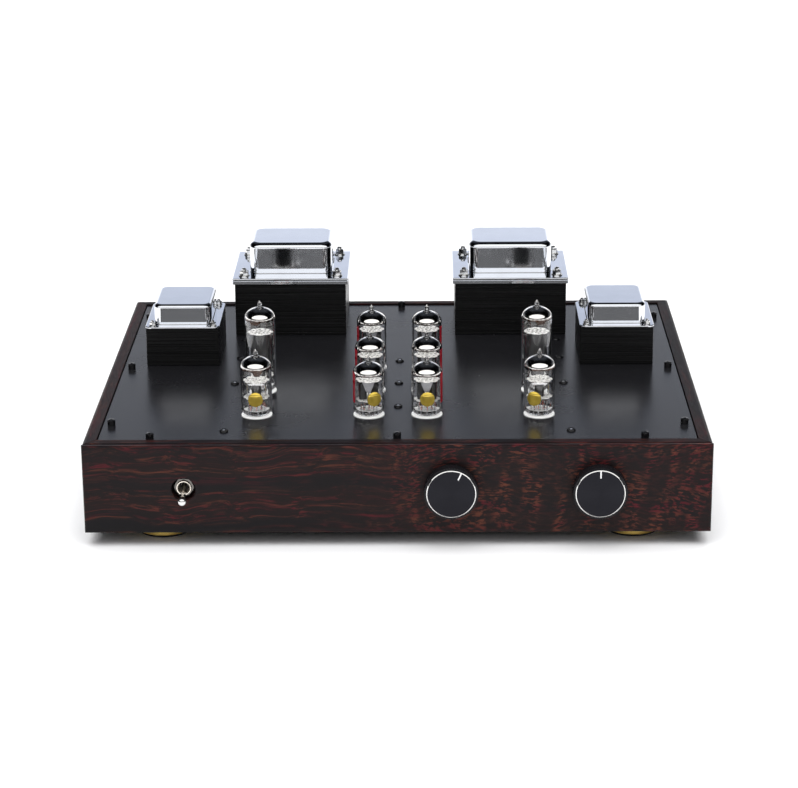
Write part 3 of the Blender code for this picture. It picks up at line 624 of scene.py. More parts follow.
def cap_screw():
    """Socket-head screw: a knurled rim, a chamfered top and a hexagonal recess."""
    radius, height = 2.75, 3.9
    head = turned([
        (0, 0), (radius - 0.1, 0), (radius, 0.2), (radius, height - 0.5),
        (radius - 0.15, height - 0.2), (radius - 0.45, height), (0, height),
    ], 48, lambda angle, reach: reach - (0.05 * (1 + math.cos(24 * angle))
                                         if reach == radius else 0))
    recess = turned([(0, height - 1.5), (1.3, height - 1.3),
                     (1.3, height + PAST), (0, height + PAST)], 6)
    return carved(head, [recess])


def flat_screw():
    """Low button-head screw with a wide recess."""
    head = turned([
        (0, 0), (3.1, 0), (3.2, 0.3), (2.9, 0.9), (2.2, 1.25),
        (1.7, 1.0), (0, 1.0),
    ], 40)
    recess = turned([(0, 0.4), (1.1, 0.5), (1.1, 2), (0, 2)], 6)
    return carved(head, [recess])


def mirrored_spots(spots):
    for x, depth in spots:
        for sign in (-1, 1) if x else (1,):
            yield sign * x, FRONT_Y + depth


def make_plate_screws(finish, pale):
    for name, shape, spots in (("cap_screws", cap_screw(), CAP_SCREWS),
                               ("flat_screws", flat_screw(), FLAT_SCREWS)):
        turns = random.Random(4)
        parts = []
        for x, y in mirrored_spots(spots):
            turn = Matrix.Rotation(turns.uniform(0, math.pi), 4, "Z")
            parts.append((shape, at(x, y, PLATE_TOP + 0.02) @ turn))
        piece(name, gathered(parts), finish)
    disc = rod(0.92, 0.55, 1.08, 24, 0.1)
    centres = [(disc, at(x, y, PLATE_TOP + 0.02)) for x, y in mirrored_spots(FLAT_SCREWS)]
    piece("flat_screw_centres", gathered(centres), pale)


def make_feet(gold, rubber):
    pad = 1.7
    for node in ("foot_front_left", "foot_front_right", "foot_rear_left", "foot_rear_right"):
        lowest, highest = box(node)
        radius = (highest.x - lowest.x) / 2
        height = highest.z
        spot = at(middle(node).x, middle(node).y, 0)
        body = turned([
            (0, pad), (radius - 0.5, pad), (radius, pad + 0.5),
            (radius, height * 0.55), (radius - 0.6, height * 0.6),
            (radius - 0.6, height * 0.66), (radius, height * 0.7),
            (radius, height - 0.8), (radius - 0.8, height), (0, height),
        ], 96)
        piece(f"{node}_body", body, gold, place=spot, stands_for=[node])
        cushion = turned([
            (0, 0), (radius - 1.8, 0), (radius - 1.2, 0.4),
            (radius - 1.2, pad - 0.05), (0, pad - 0.05),
        ], 96)
        piece(f"{node}_pad", cushion, rubber, place=spot)


# Transformers

class Cover(NamedTuple):
    """Sizes of a pressed cover; the bell's are its width, depth, height and corner radius."""
    bell: tuple
    lip: float
    flange_corner: float
    sheet: float
    bolt_x: float
    bolt_y: float
    bolt: float  # thread diameter


COVERS = {
    "power": Cover((64, 51, 24, 7.5), 4.6, 0.8, 1.2, 36, 31, 4),
    "output": Cover((43, 52, 15.3, 5.4), 0, 5, 1.2, 22.6, 28, 2.6),
}


def cover_mesh(kind, width, depth):
    """Flange, with a turned-down lip on the large cover, and a bell with rounded shoulders."""
    sheet = kind.sheet
    bell_width, bell_depth, bell_height, bell_corner = kind.bell
    shoulder = bell_height * 0.17
    fillet = 0.6  # where the bell meets the flange

    def bell_loop(shrink, height):
        corner = max(bell_corner - shrink * 0.4, 0.5)
        return rounded_rectangle(bell_width - 2 * shrink, bell_depth - 2 * shrink, corner, height)

    def flange_loop(shrink, height):
        corner = max(kind.flange_corner - shrink, 0.25)
        return rounded_rectangle(width - 2 * shrink, depth - 2 * shrink, corner, height)

    edge = min(0.6, sheet / 2)
    outer = [flange_loop(0.2, -max(kind.lip, sheet)), flange_loop(0, -max(kind.lip, sheet) + 0.2)]
    if kind.lip:
        groove = ((0, -2.2), (0.45, -2.1), (0.45, -1.4), (0, -1.3))
        outer += [flange_loop(inset, height) for inset, height in groove]
    for step in range(5):
        angle = math.radians(90 * step / 4)
        outer.append(flange_loop(edge * (1 - math.cos(angle)), -edge * (1 - math.sin(angle))))
    for step in range(5):
        angle = math.radians(90 * step / 4)
        outer.append(bell_loop(-fillet * (1 - math.sin(angle)), fillet * (1 - math.cos(angle))))
    for step in range(9):
        angle = math.radians(90 * step / 8)
        outer.append(bell_loop(shoulder * (1 - math.cos(angle)),
                               bell_height - shoulder * (1 - math.sin(angle))))
    inner = [bell_loop(shoulder, bell_height - sheet), bell_loop(sheet, bell_height - shoulder),
             bell_loop(sheet, -sheet)]
    if kind.lip:
        inner += [flange_loop(sheet, -sheet), flange_loop(sheet, -kind.lip)]
    return lofted(inner + outer)


def sheet_stack(node, coil, seed):
    """The laminated stack: every sheet edge slightly in or out, with the coil's two windows."""
    lowest, highest = box(node)
    spot = (lowest + highest) / 2
    width, depth = highest.x - lowest.x, highest.y - lowest.y
    wander = random.Random(seed)
    sheets = round((highest.z - lowest.z) / SHEET_PITCH)
    pitch = (highest.z - lowest.z) / sheets
    loops = []
    for number in range(sheets):
        inset = wander.uniform(0, 0.06)
        for share in (0.06, 0.94):
            loops.append([(x, y, lowest.z + pitch * (number + share)) for x, y, _ in
                          rounded_rectangle(width - 2 * inset, depth - 2 * inset, 0.4, 0, 2)])
    stack = lofted([[(x + spot.x, y + spot.y, z) for x, y, z in loop] for loop in loops])
    coil_low, coil_high = box(coil)
    along_y = (coil_high.x - coil_low.x) / width > (coil_high.y - coil_low.y) / depth
    gap = 0.3
    cutters = []
    for sign in (-1, 1):
        corner_low = Vector((coil_low.x - gap, coil_low.y - gap, lowest.z - PAST))
        corner_high = Vector((coil_high.x + gap, coil_high.y + gap, highest.z + PAST))
        axis = 0 if along_y else 1
        leg = (width if along_y else depth) / 6
        inner = spot[axis] + sign * leg
        if sign > 0:
            corner_low[axis] = inner
        else:
            corner_high[axis] = inner
        cutters.append(block(corner_low, corner_high))
    return carved(stack, cutters)


def bolt_mesh(thread):
    """Washer, tall hexagon nut and the rounded end of a stud."""
    sheet, nut_top, top = thread * 0.22, thread * 1.05, thread * 1.55
    washer = turned([
        (thread * 0.52, 0), (thread * 1.02, 0), (thread * 1.07, sheet * 0.3),
        (thread * 1.03, sheet), (thread * 0.52, sheet),
    ], 40)
    corner = thread * 0.88
    nut = turned([
        (0, sheet), (corner * 0.95, sheet), (corner, sheet + thread * 0.06),
        (corner, nut_top - thread * 0.08), (corner * 0.86, nut_top), (0, nut_top),
    ], 6)
    stud = turned([
        (0, sheet), (thread * 0.46, sheet), (thread * 0.46, top - thread * 0.16),
        (thread * 0.3, top - thread * 0.03), (0, top),
    ], 24)
    return gathered([washer, nut, stud])


def make_transformers(chrome, sheets, wire, bolts):
    for kind_name, kind in COVERS.items():
        bolt = bolt_mesh(kind.bolt)
        for side, _ in SIDES:
            name = f"{kind_name}_transformer_{side}"
            lowest, highest = box(f"{name}_cover")
            spot = middle(f"{name}_cover")
            flange_top = highest.z - kind.bell[2]
            shape = cover_mesh(kind, highest.x - lowest.x, highest.y - lowest.y)
            piece(f"{name}_shell", shape, chrome, place=at(spot.x, spot.y, flange_top),
                  stands_for=[f"{name}_cover"])
            seed = sum(map(ord, name))
            piece(f"{name}_sheets", sheet_stack(f"{name}_core", f"{name}_coil", seed), sheets,
                  stands_for=[f"{name}_core"], sharp=20)
            repaint(wire, f"{name}_coil")
            turns = random.Random(seed)
            parts = []
            for step_x in (-1, 1):
                for step_y in (-1, 1):
                    turn = Matrix.Rotation(turns.uniform(0, math.pi), 4, "Z")
                    parts.append((bolt, at(spot.x + step_x * kind.bolt_x,
                                           spot.y + step_y * kind.bolt_y,
                                           flange_top + 0.02) @ turn))
            piece(f"{name}_bolts", gathered(parts), bolts)


# Valves

def valve_names():
    return [f"{kind}_valve_{side}" for side, _ in SIDES
            for kind in ("input", "phase", "gain", "driver", "output")]


def glass_base(name):
    """A bulb's radius, and the place of the middle of its foot."""
    lowest, highest = box(name)
    spot = at(middle(name).x, middle(name).y, lowest.z + PIN_LENGTH)
    return (highest.x - lowest.x) / 2, spot


def dome_points(radius, shoulder, dome, stop, steps=10):
    """An elliptical dome from its shoulder up to a radius."""
    end = math.acos(stop / radius)
    return [(radius * math.cos(end * step / steps), shoulder + dome * math.sin(end * step / steps))
            for step in range(1, steps + 1)]


def bulb_mesh(radius, height):
    """Glass envelope with a domed top, an exhaust nipple and a thick pressed base."""
    shoulder = height - DOME_HEIGHT - NIPPLE_HEIGHT
    foot = 3.2
    outer = [(0, 0), (radius - 3.2, 0), (radius - 2.4, 0.25),
             (radius - 1.5, 1.0), (radius - 0.6, 2.1), (radius, foot + 1)]
    outer += [(radius, shoulder)] + dome_points(radius, shoulder, DOME_HEIGHT, 3.4)
    neck = height - NIPPLE_HEIGHT
    outer += [(2.2, neck + 0.2), (1.5, neck + 0.7), (1.35, neck + 1.1),
              (1.6, neck + 1.9), (1.55, neck + 2.6), (1.1, neck + 3.3),
              (0.75, neck + 3.8), (0.6, height - 0.4), (0.3, height - 0.08),
              (0, height)]
    inside = radius - GLASS_WALL
    inner = [(0, neck - 0.9)]
    inner += list(reversed(dome_points(inside, shoulder, DOME_HEIGHT - GLASS_WALL, 2)))
    inner += [(inside, shoulder), (inside, foot + 1.4), (inside - 1.2, foot + 0.4),
              (inside - 3, foot), (0, foot)]
    sides = 56
    data = turned(outer + inner, sides)
    for face in data.polygons[(len(outer) - 1) * sides:]:
        face.flip()  # the hollow's faces look inwards, away from the glass
    data.update()
    return data


def getter_mesh(radius, reach):
    """Thin mirror film in the dome's glass and a little below its shoulder, Z = 0."""
    loops = []
    for film in (radius - 0.4, radius - 0.46):
        dome = DOME_HEIGHT - radius + film
        loops.append([(film, -reach), (film, -reach / 2), (film, 0)]
                     + dome_points(film, 0, dome, 1.2))
    return turned(loops[0] + list(reversed(loops[1])), 56)


def mica_mesh(radius):
    """A toothed spacer disc with holes for the electrodes."""
    def teeth(angle, reach):
        if reach < radius * 0.9:
            return reach
        return reach - 0.8 * (math.cos(8 * angle) < -0.2)
    half = 0.15
    disc = turned([(0, -half), (radius * 0.6, -half), (radius, -half), (radius, half),
                   (radius * 0.6, half), (0, half)], 60, teeth)
    holes = [rod(1.1, -PAST, PAST, 12)]
    for count, reach, size in ((6, 3.3, 1.0), (8, 5.9, 0.95)):
        hole = rod(size, -PAST, PAST, 10)
        holes += [(hole, spot) for spot in spread(count, reach, 0.6 * math.pi / count)]
    return carved(disc, [gathered(holes)])


def plate_shell(width, depth, bottom, top, corner, wall=0.25):
    """An open-ended box of sheet metal, such as an anode."""
    loops = [rounded_rectangle(width - 2 * inset, depth - 2 * inset, corner - inset, height, 4)
             for inset, height in ((0, bottom), (0, top), (wall, top), (wall, bottom))]
    return lofted(loops, ring=True)


def trapezoid(top_width, bottom_width, bottom, top, y):
    """A thin upright plate that narrows downwards."""
    half = 0.12
    corners = ((-bottom_width / 2, bottom), (bottom_width / 2, bottom), (top_width / 2, top),
               (-top_width / 2, top))
    return lofted([[(x, y + side, z) for x, z in corners] for side in (-half, half)])


def base_wires(seed, count):
    """Short slanting wires between the glass base and the lower mica."""
    wander = random.Random(seed)
    wires = []
    for number in range(count):
        angle = 2 * math.pi * number / count + wander.uniform(-0.2, 0.2)
        reach = wander.uniform(3, 7.5)
        lean = rotated(wander.uniform(-28, 28), "Y")
        wire = rod(0.16, 0, wander.uniform(2.5, 4.5), 8)
        wires.append((wire, at(reach * math.cos(angle), reach * math.sin(angle), 3.9)
                      @ Matrix.Rotation(angle, 4, "Z") @ lean))
    return wires


def leads(bottom, top, radius, reach, count, turn=0.0):
    """Upright wires spread round a circle."""
    lead = rod(radius, bottom, top, 8)
    return [(lead, spot) for spot in spread(count, reach, turn)]


class Cage(NamedTuple):
    """Inside one kind of valve: heights of two micas, depth of the getter film, and how far the
    left and right valves are turned."""
    upper: float
    lower: float
    film: float
    turns: tuple = (0, 0)


CAGES = {
    "input": Cage(25.3, 10.8, 0.8),
    "phase": Cage(26.2, 10.8, 0.8),
    "gain": Cage(29.0, 10.8, 0.8),
    "driver": Cage(25.0, 12.7, 4.6, (8, 172)),
    "output": Cage(43.6, 11.5, 3.2, (-18, 14)),
}


def pin_parts(top):
    """Nine contact pins in their circle."""
    pin = turned([(0, -PIN_LENGTH), (PIN_RADIUS * 0.5, -PIN_LENGTH),
                  (PIN_RADIUS, -PIN_LENGTH + 0.6), (PIN_RADIUS, top), (0, top)], 12)
    return [(pin, spot) for spot in pin_places()]


def make_valve(name, finishes):
    kind = name.split("_")[0]
    cage = CAGES[kind]
    radius, base = glass_base(name)
    height = high(name).z - low(name).z - PIN_LENGTH
    bulb = piece(f"{name}_bulb", bulb_mesh(radius, height), finishes["glass"], name,
                 base, [name], sharp=50)
    bulb.visible_shadow = False
    shoulder = height - DOME_HEIGHT - NIPPLE_HEIGHT
    turn = rotated(cage.turns[name.endswith("right")], "Z")
    film = piece(f"{name}_getter", getter_mesh(radius, cage.film), finishes["getter"],
                 name, base @ at(0, 0, shoulder) @ turn, sharp=50)
    film.visible_shadow = False
    piece(f"{name}_pins", gathered(pin_parts(4.2)), finishes["pin"], name, base)
    disc = mica_mesh(radius - GLASS_WALL - 0.9)
    micas = [(disc, at(0, 0, cage.upper)), (disc, at(0, 0, cage.lower) @ turn)]
    piece(f"{name}_micas", gathered(micas), finishes["mica"], name, base)
    bottom, top = cage.lower + 0.2, cage.upper - 0.2
    rods = leads(3.4, cage.lower + 0.5, 0.28, PIN_CIRCLE_RADIUS, 5, 0.3)
    rods += leads(cage.lower - 1.5, cage.upper + 1.8, 0.45, 6.6, 2, 0.0)
    rods += leads(cage.lower - 1.5, cage.upper + 1.8, 0.3, 2.2, 2, 1.57)
    rods += base_wires(len(name), 9)
    if kind == "driver":
        rods.append(plate_shell(17, 9, top - 2.6, top - 1.4, 4))
    piece(f"{name}_rods", gathered(rods), finishes["rod"], name, base)
    piece(f"{name}_copper_leads", gathered(base_wires(len(name) + 7, 12)),
          finishes["copper"], name, base)
    if kind == "output":
        anode = [plate_shell(14, 10.5, bottom, top, 5)]
    elif kind == "driver":
        anode = [plate_shell(6.5, 5.5, bottom, top - 4, 2.4)]
    else:
        half = plate_shell(5.4, 6.4, bottom, top - 3, 1.6)
        anode = [(half, at(side * 4, 0, 0)) for side in (-1, 1)]
        shield = trapezoid(9, 3, top - 7.7, top, -6.2)
        piece(f"{name}_shield", shield, finishes["shield"], name, base)
    piece(f"{name}_anode", gathered(anode), finishes["dark_anode"], name, base)


def socket_mesh(radius):
    """Ceramic socket body: a raised rim and nine contact holes round a centre hole."""
    step = radius - 1
    body = turned([
        (1.6, -SOCKET_HEIGHT), (step, -SOCKET_HEIGHT), (step, -3), (radius, -3),
        (radius, -0.5), (radius - 0.15, -0.15), (radius - 0.5, 0),
        (1.6, 0),
    ], 64)
    hole = rod(PIN_RADIUS + 0.35, -SOCKET_HEIGHT - PAST, PAST, 16)
    return carved(body, [gathered([(hole, spot) for spot in pin_places()])])


def make_sockets(finish):
    name = valve_names()[0].replace("valve", "socket")
    radius = (high(name).x - low(name).x) / 2
    shape = socket_mesh(radius)
    for valve in valve_names():
        name = valve.replace("valve", "socket")
        spot = at(middle(name).x, middle(name).y, high(name).z)
        piece(f"{name}_body", shape.copy(), finish, "chassis", spot, [name])


def sticker_mesh(radius, centre, width, height, round_ends, raised=0.0):
    """A label bent round the glass: angle of its centre in degrees, arc width and height. A raised
    one stands off the glass and slopes back to it near its top."""
    steps = 16
    loops = []
    for row in range(steps + 1):
        share = 2 * row / steps - 1
        half = math.sqrt(1 - (share * 0.998) ** 2) if round_ends else 1.0
        line = [[], []]
        for step in range(steps + 1):
            offset = (2 * step / steps - 1) * half * width / 2
            angle = math.radians(centre) + offset / radius
            for side, stand in enumerate((0, 0.06 + raised * min(1.0, (1 - share) / 0.42))):
                reach = radius + 0.03 + stand
                line[side].append((reach * math.cos(angle), reach * math.sin(angle),
                                   share * height / 2))
        loops.append(line[0] + line[1][::-1])
    return lofted(loops)


# Front valves carry a plain yellow dot: kind, side, and the angle it faces (-90 is the front)
DOTS = (("driver", "left", -90), ("input", "left", -68), ("input", "right", -88),
        ("driver", "right", -112))
DOT_WIDTH = 9.9
DOT_HEIGHT = 10.4
DOT_RAISED = 0.8
DOT_LEVEL = 13.6  # of the dot's middle, above the glass base
BAND_WIDTH = 8
BAND_LOW, BAND_HIGH = 9, 31
BAND_TURN = 8  # degrees from sideways towards the front


def make_stickers(yellow, red):
    for kind, side, angle in DOTS:
        name = f"{kind}_valve_{side}"
        radius, base = glass_base(name)
        dot = sticker_mesh(radius, angle, DOT_WIDTH, DOT_HEIGHT, True, DOT_RAISED)
        piece(f"{name}_dot", dot, yellow, name, base @ at(0, 0, DOT_LEVEL))
    for side, sign in SIDES:
        for kind in ("input", "phase", "gain"):
            name = f"{kind}_valve_{side}"
            radius, base = glass_base(name)
            facing = 180 + BAND_TURN if sign < 0 else -BAND_TURN
            band = sticker_mesh(radius, facing, BAND_WIDTH, BAND_HIGH - BAND_LOW, False)
            piece(f"{name}_band", band, red, name,
                  base @ at(0, 0, (BAND_LOW + BAND_HIGH) / 2))


# Front controls

def make_knob(name, body, angle, finishes):
    """Fluted knob with a bright bevelled ring, a spun face and a white mark."""
    lowest, highest = box(f"{name}_knob")
    spot = middle(f"{name}_knob")
    reach = FRONT_Y - lowest.y
    back = FRONT_Y - highest.y
    radius = (highest.z - lowest.z) / 2
    place = at(spot.x, FRONT_Y, spot.z) @ rotated(angle, "Y") @ rotated(90, "X")
    ring_outer, ring_inner = 17.0, 16.4
    flutes = 64

    def fluted(turn, distance):
        if distance < radius - 0.01:
            return distance
        return distance - 0.3 * (1 - math.cos(flutes * turn)) / 2

    shell = turned([
        (0, reach - 1.4), (3.3, reach - 1.4), (3.3, back + 3.4),
        (12, back + 3.4), (12, back), (radius - 1.1, back),
        (radius, back + 1.1), (radius, reach - 1.2), (radius - 0.35, reach - 0.8),
        (ring_outer + 0.1, reach - 0.4), (ring_outer + 0.1, reach - 1.1),
        (0, reach - 1.1),
    ], 384, fluted)
    piece(f"{name}_knob_body", shell, finishes["knob"], body, place,
          [f"{name}_knob"])
    ring = turned([
        (ring_inner, reach - 1.05), (ring_outer, reach - 1.05),
        (ring_outer, reach - 0.3), (ring_inner + 0.2, reach),
        (ring_inner, reach - 0.05),
    ], 128)
    piece(f"{name}_knob_ring", ring, finishes["bright"], body, place)
    face = turned([
        (0, reach - 1.05), (ring_inner - 0.04, reach - 1.05),
        (ring_inner - 0.04, reach - 0.12), (0, reach - 0.12),
    ], 128)
    piece(f"{name}_knob_face", face, finishes["face"], body, place)
    mark = block((-0.5, 11.2, reach - 0.5), (0.5, ring_inner - 0.02, reach - 0.05), 0.08)
    piece(f"{name}_knob_mark", mark, finishes["white"], body, place)


def make_toggle(finishes):
    """Bat lever, threaded bushing, hexagon nut and switch body of the mains switch."""
    joint = next(j for j in frame["joints"] if j["name"] == "mains_toggle")
    pivot = Vector(joint["pos_m"]) / MM
    spot = control("toggle_nut")
    outward = at(spot.x, FRONT_Y, spot.z) @ rotated(90, "X")
    length, tip = 22.95, 3.25
    droop = 12.5  # degrees below level at rest
    ball = length - tip
    bat = [(0, -3), (1.0, -2.8), (1.7, -2), (1.55, 3),
           (1.6, 8), (2.4, ball - 4), (3.0, ball - 1.6)]
    bat += [(tip * math.cos(math.radians(a)), ball + tip * math.sin(math.radians(a)))
            for a in range(-10, 81, 15)]
    bat.append((0, length))
    lean = rotated(90 + droop, "X")
    lever = gathered([(turned(bat, 40), lean)])
    piece("mains_lever_bat", lever, finishes["lever"], "mains_lever",
          Matrix.Translation(pivot), ["toggle_lever"])

    nut_low, nut_high = box("toggle_nut")
    nut_front, nut_back = FRONT_Y - nut_low.y, FRONT_Y - nut_high.y
    corner = 7.9
    nut = turned([
        (5.6, nut_back), (corner * 0.94, nut_back), (corner, nut_back + 0.35),
        (corner, nut_front - 0.45), (corner * 0.88, nut_front), (5.6, nut_front),
    ], 6)
    piece("toggle_hexagon_nut", nut, finishes["nut"], place=outward,
          stands_for=["toggle_nut"])

    body_low, body_high = box("toggle_switch")
    front = FRONT_Y - body_low.y
    outline = [(3.3, -12), (3.3, -8), (3.9, front - 1.6),
               (4.1, front - 0.4), (4.4, front), (5.0, front),
               (5.4, front - 0.4)]
    pitch = 0.75  # of the bushing's thread
    height = front - 0.5
    while height > -8.8:
        outline += [(5.4, height), (5.1, height - pitch / 2)]
        height -= pitch
    outline.append((5.1, -12))
    piece("toggle_bushing", turned(outline, 56), finishes["bushing"],
          place=outward, stands_for=["toggle_switch"])
    wide, tall = body_high.x - body_low.x, body_high.z - body_low.z
    case = block((-wide / 2, -tall / 2, FRONT_Y - body_high.y), (wide / 2, tall / 2, -12.05), 0.6)
    piece("toggle_switch_case", case, finishes["plastic"], place=outward)


# Rear

def outward_from(x):
    """A place on the rear plate's outer face whose +Z points away from the case."""
    spot = at(x, high("rear_plate").y + REAR_GAP, middle("rear_plate").z)
    return spot @ rotated(-90, "X")


def tube(inner, outer, bottom, top, sides=40, ripple=None):
    edge = 0.15
    return turned([(inner, bottom), (outer, bottom), (outer, top - edge),
                   (outer - edge, top), (inner + edge, top), (inner, top - edge)],
                  sides, ripple)


def make_inlet(brass, screw):
    """Three flat contacts in the mains inlet's well and the screws of its flange."""
    place = outward_from(middle("mains_inlet").x)
    blades = [block((x - 1.1, y - 2.1, -13.4), (x + 1.1, y + 2.1, -2.7), 0.4)
              for x, y in ((-7, -2), (0, 2), (7, -2))]
    piece("mains_inlet_blades", gathered(blades), brass, place=place)
    heads = [(flat_screw(), at(sign * 20, 0, 3)) for sign in (-1, 1)]
    piece("mains_inlet_screws", gathered(heads), screw, place=place)


def make_input_jacks(gold, colours):
    """Gold sleeves, contacts and nuts of the coaxial jacks, with a coloured ring to each row."""
    place = outward_from(middle("input_jacks").x)
    metal, rings = [], ([], [])
    for column in (-1, 0, 1):
        for row, bucket in ((-1, rings[0]), (1, rings[1])):
            spot = at(column * JACK_PITCH_X, row * JACK_PITCH_Z / 2, 0)
            metal.append((tube(4.22, 4.5, 3.9, 8.9), spot))
            metal.append((tube(4.25, 6, 2.05, 3.8, 6), spot))
            metal.append((tube(1.1, 1.75, -4.8, 8.6), spot))
            bucket.append((tube(4.53, 5.7, 3.85, 5.2), spot))
    piece("input_jack_sleeves", gathered(metal), gold, place=place)
    for name, bucket, finish in zip(("upper", "lower"), rings, colours):
        piece(f"input_jack_rings_{name}", gathered(bucket), finish, place=place)


def make_speaker_sockets(gold, colours):
    """A ribbed cap round each speaker socket, and its gold contact."""
    for side, _ in SIDES:
        node = f"speaker_sockets_{side}"
        place = outward_from(middle(node).x)
        top = high(node).y - high("rear_plate").y - REAR_GAP
        contacts = []
        for sign, colour, finish in ((-1, "black", colours[0]), (1, "red", colours[1])):
            spot = at(sign * SPEAKER_PITCH / 2, 0, 0)
            cap = tube(6.05, 7.2, 2.55, top - 1.2, 120,
                       lambda angle, reach: reach - (0.18 * (1 + math.cos(20 * angle))
                                                     if reach > 7 else 0))
            piece(f"speaker_cap_{side}_{colour}", gathered([(cap, spot)]), finish,
                  place=place)
            contacts.append((tube(1.6, 1.9, -5.9, top - 0.3), spot))
        piece(f"speaker_contacts_{side}", gathered(contacts), gold, place=place)


def make_rear(finishes):
    lowest, highest = box("rear_plate")
    repaint(finishes["black"], "rear_plate")
    repaint(finishes["plastic"], "mains_inlet", "input_jacks")
    repaint(finishes["plastic"], "speaker_sockets_left", "speaker_sockets_right")
    screws = []
    turn = rotated(-90, "X")
    for x in (lowest.x + 5, 0, highest.x - 5):
        for z in (lowest.z + 4.5, highest.z - 4.5):
            screws.append((flat_screw(), at(x, highest.y + 0.02, z) @ turn))
    piece("rear_screws", gathered(screws), finishes["screw"])
    make_inlet(finishes["gold"], finishes["screw"])
    make_input_jacks(finishes["gold"], (finishes["white"], finishes["red"]))
    make_speaker_sockets(finishes["gold"], (finishes["plastic"], finishes["red"]))


# Studio

def make_floor():
    work = bmesh.new()
    bmesh.ops.create_circle(work, cap_ends=True, segments=128, radius=60.0)
    floor = added("studio_floor", mesh_from(work))
    finish = Finish("floor_paper", (0.92, 0.92, 0.93), 0.75, sockets={"Specular IOR Level": 0.1})
    finish.colour(finish.mix(finish.noise(finish.place(), 900.0, 2.0), (0.88, 0.88, 0.89),
                             (0.95, 0.95, 0.96)))
    floor.data.materials.append(finish.material)


def make_world():
    """Studio walls: a white band round the horizon and behind, darker above and in front."""
    world = bpy.data.worlds.new("studio")
    bpy.context.scene.world = world
    world.use_nodes = True
    studio = Nodes(world.node_tree)
    place = studio.node("ShaderNodeTexCoord").outputs["Generated"]
    x, y, z = studio.node("ShaderNodeSeparateXYZ", {"Vector": place}).outputs
    top = studio.math("ADD", studio.fit(y, 0.0, 0.6, 0.3, 0.45),
                      studio.fit(y, -0.9, -0.3, -0.22, 0.0))
    bottom = studio.math("ADD", studio.fit(y, 0.0, 0.6, 0.14, 0.16),
                         studio.fit(y, -0.9, -0.3, -0.13, 0.0))
    level = studio.fit(z, bottom, top, 1.25, 0.04)
    behind = studio.fit(y, 0.1, 0.5, 0.12, 1.0)
    ahead = studio.fit(y, -0.9, -0.4, 0.9, 0.0)
    aside = studio.fit(studio.math("MULTIPLY", x, x), 0.06, 0.26, 1.0, 0.1)
    share = studio.math("MULTIPLY", studio.math("ADD", behind, ahead), aside)
    background = world.node_tree.nodes["Background"]
    studio.feed(background.inputs["Strength"], studio.math("MULTIPLY", level, share))
    studio.feed(background.inputs["Color"], studio.mix(studio.fit(z, 0.1, 0.32), (1.0, 1.0, 1.0),
                                                       (0.76, 0.83, 1.0)))


def make_softbox(name, place, target, width, height, power):
    data = bpy.data.lights.new(name, "AREA")
    data.shape = "ELLIPSE"
    data.size = width
    data.size_y = height
    data.energy = power
    lamp = added(name, data)
    lamp.location = place
    lamp.rotation_euler = (Vector(target) - Vector(place)).to_track_quat("-Z", "Y").to_euler()
    return lamp


def make_lights():
    target = (0.0, -0.06, 0.12)
    make_softbox("front_softbox", (0.0, -1.26, 1.21), target, 5.4, 1.75, 23)
    sheen = make_softbox("front_reflection", (0.0, -1.23, 1.183), target, 5.4, 1.75, 5)
    sheen.visible_diffuse = False
    fill = bpy.data.lights.new("overhead_fill", "SUN")
    fill.energy = 3.95
    fill.angle = math.radians(84)
    lamp = added("overhead_fill", fill)
    lamp.visible_glossy = False
    lamp.visible_transmission = False


def make_camera():
    data = bpy.data.cameras.new("camera")
    data.sensor_width = 36.0
    data.lens = CAMERA_LENS
    data.clip_end = 200.0
    camera = added("camera", data)
    place = at(CAMERA_SIDE, FRONT_Y - CAMERA_DISTANCE, CASE_BOTTOM + CAMERA_HEIGHT)
    for angle, axis in ((CAMERA_YAW, "Z"), (CAMERA_PITCH, "X"), (CAMERA_ROLL, "Y"), (90, "X")):
        place = place @ rotated(angle, axis)
    camera.matrix_world = in_metres(place)
    bpy.context.scene.camera = camera


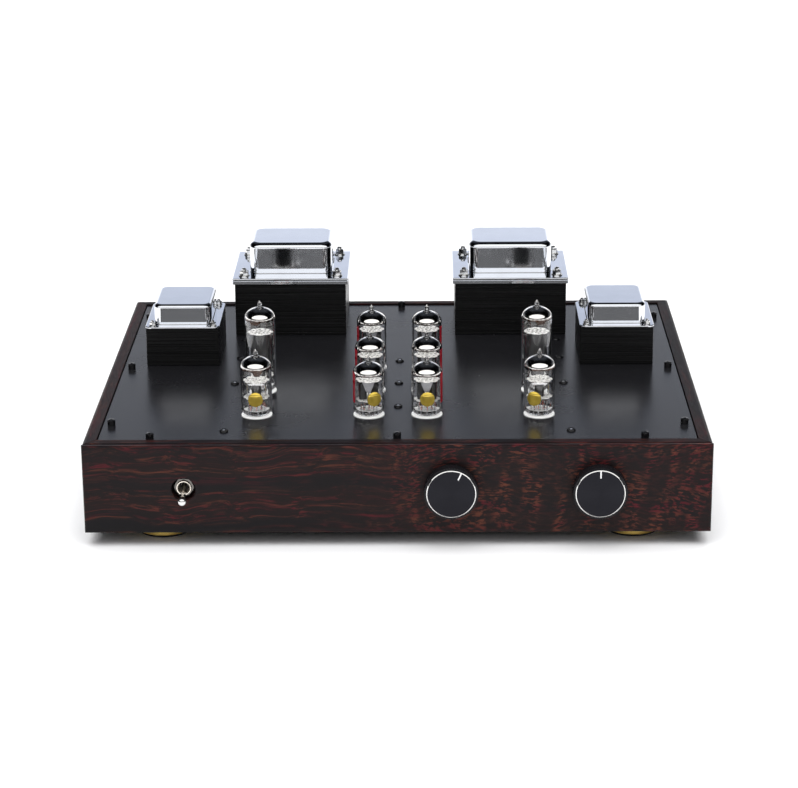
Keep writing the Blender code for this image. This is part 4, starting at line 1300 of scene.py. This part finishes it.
def main():
    bpy.context.scene.view_settings.view_transform = "Standard"
    front_wood = wood("figured_wood", (13, 460, 460), flecks=True, gloss=0.12)
    long_wood = wood("long_wood", (13, 460, 460), gloss=0.03, streak=0.45)
    side_wood = wood("straight_wood", (430, 13, 430), gloss=0.06, streak=0.35)
    plate = black_anodised("black_anodised", specular=0.55)
    steel = turned_metal("plated_steel", (0.6, 0.6, 0.62), 0.24)
    chrome = polished("chrome_plate", (0.84, 0.86, 0.9), 0.05, 0.08)
    bright = polished("bright_metal", (0.86, 0.85, 0.83), 0.08, 0.16)
    dark_steel = black_coat("black_oxide")
    black_plastic = plastic("black_moulding", (0.02, 0.02, 0.021))
    make_fascia(front_wood)
    make_boards(long_wood, side_wood)
    make_top_plate(plate)
    make_plate_screws(dark_steel, bright)
    make_feet(turned_metal("gold_anodised", (0.86, 0.6, 0.17), 0.28),
              plastic("rubber", (0.01, 0.01, 0.01), 0.7))
    bolts = polished("bright_plating", (0.86, 0.86, 0.85), 0.14, 0.24)
    make_transformers(chrome, varnished_sheets(), winding(), bolts)
    valve_finishes = {
        "glass": glass(), "getter": getter(), "mica": mica(), "pin": steel,
        "rod": polished("bright_rod", (0.8, 0.8, 0.8), 0.12, 0.2),
        "copper": polished("copper_wire", (0.8, 0.2, 0.12), 0.2, 0.35),
        "dark_anode": sheet_metal("carbonised_sheet", (0.07, 0.07, 0.072)),
        "shield": sheet_metal("pale_shield", (0.36, 0.36, 0.39), 0.45, 0.3),
    }
    for name in valve_names():
        make_valve(name, valve_finishes)
    make_sockets(ceramic())
    make_stickers(foil(), plastic("red_label", (0.42, 0.004, 0.016), 0.3))
    knob_finishes = {"knob": black_anodised("knob_black", specular=0.2), "bright": bright,
                     "face": spun_face(),
                     "white": plastic("white_paint", (0.9, 0.9, 0.9), 0.4)}
    make_knob("volume", "volume_control", 24.5, knob_finishes)
    make_knob("selector", "selector_control", 0.0, knob_finishes)
    make_toggle({"lever": polished("lever_chrome", (0.8, 0.79, 0.78), 0.06, 0.12),
                 "bushing": polished("warm_nickel", (0.95, 0.88, 0.78), 0.2, 0.3),
                 # The nut's nickel is darkened to paint in the shade of the recess it sits in.
                 "nut": polished("nickel_with_painted_recess_shade", (0.16, 0.15, 0.14), 0.12, 0.2),
                 "plastic": black_plastic})
    make_rear({"black": plate, "plastic": black_plastic, "screw": dark_steel,
               "gold": turned_metal("gold_plating", (0.9, 0.66, 0.25), 0.2),
               "white": plastic("white_insulator", (0.85, 0.85, 0.82)),
               "red": plastic("red_moulding", (0.5, 0.02, 0.02))})
    repaint(dark_steel, "bottom_plate")
    repaint(steel, "volume_shaft", "selector_shaft", "volume_potentiometer", "selector_switch")
    repaint(circuit_board(), "circuit_board")
    repaint(plastic("can_sleeve", (0.03, 0.05, 0.12)), "filter_capacitor_left",
            "filter_capacitor_right")
    make_floor()
    make_world()
    make_lights()
    make_camera()


main()
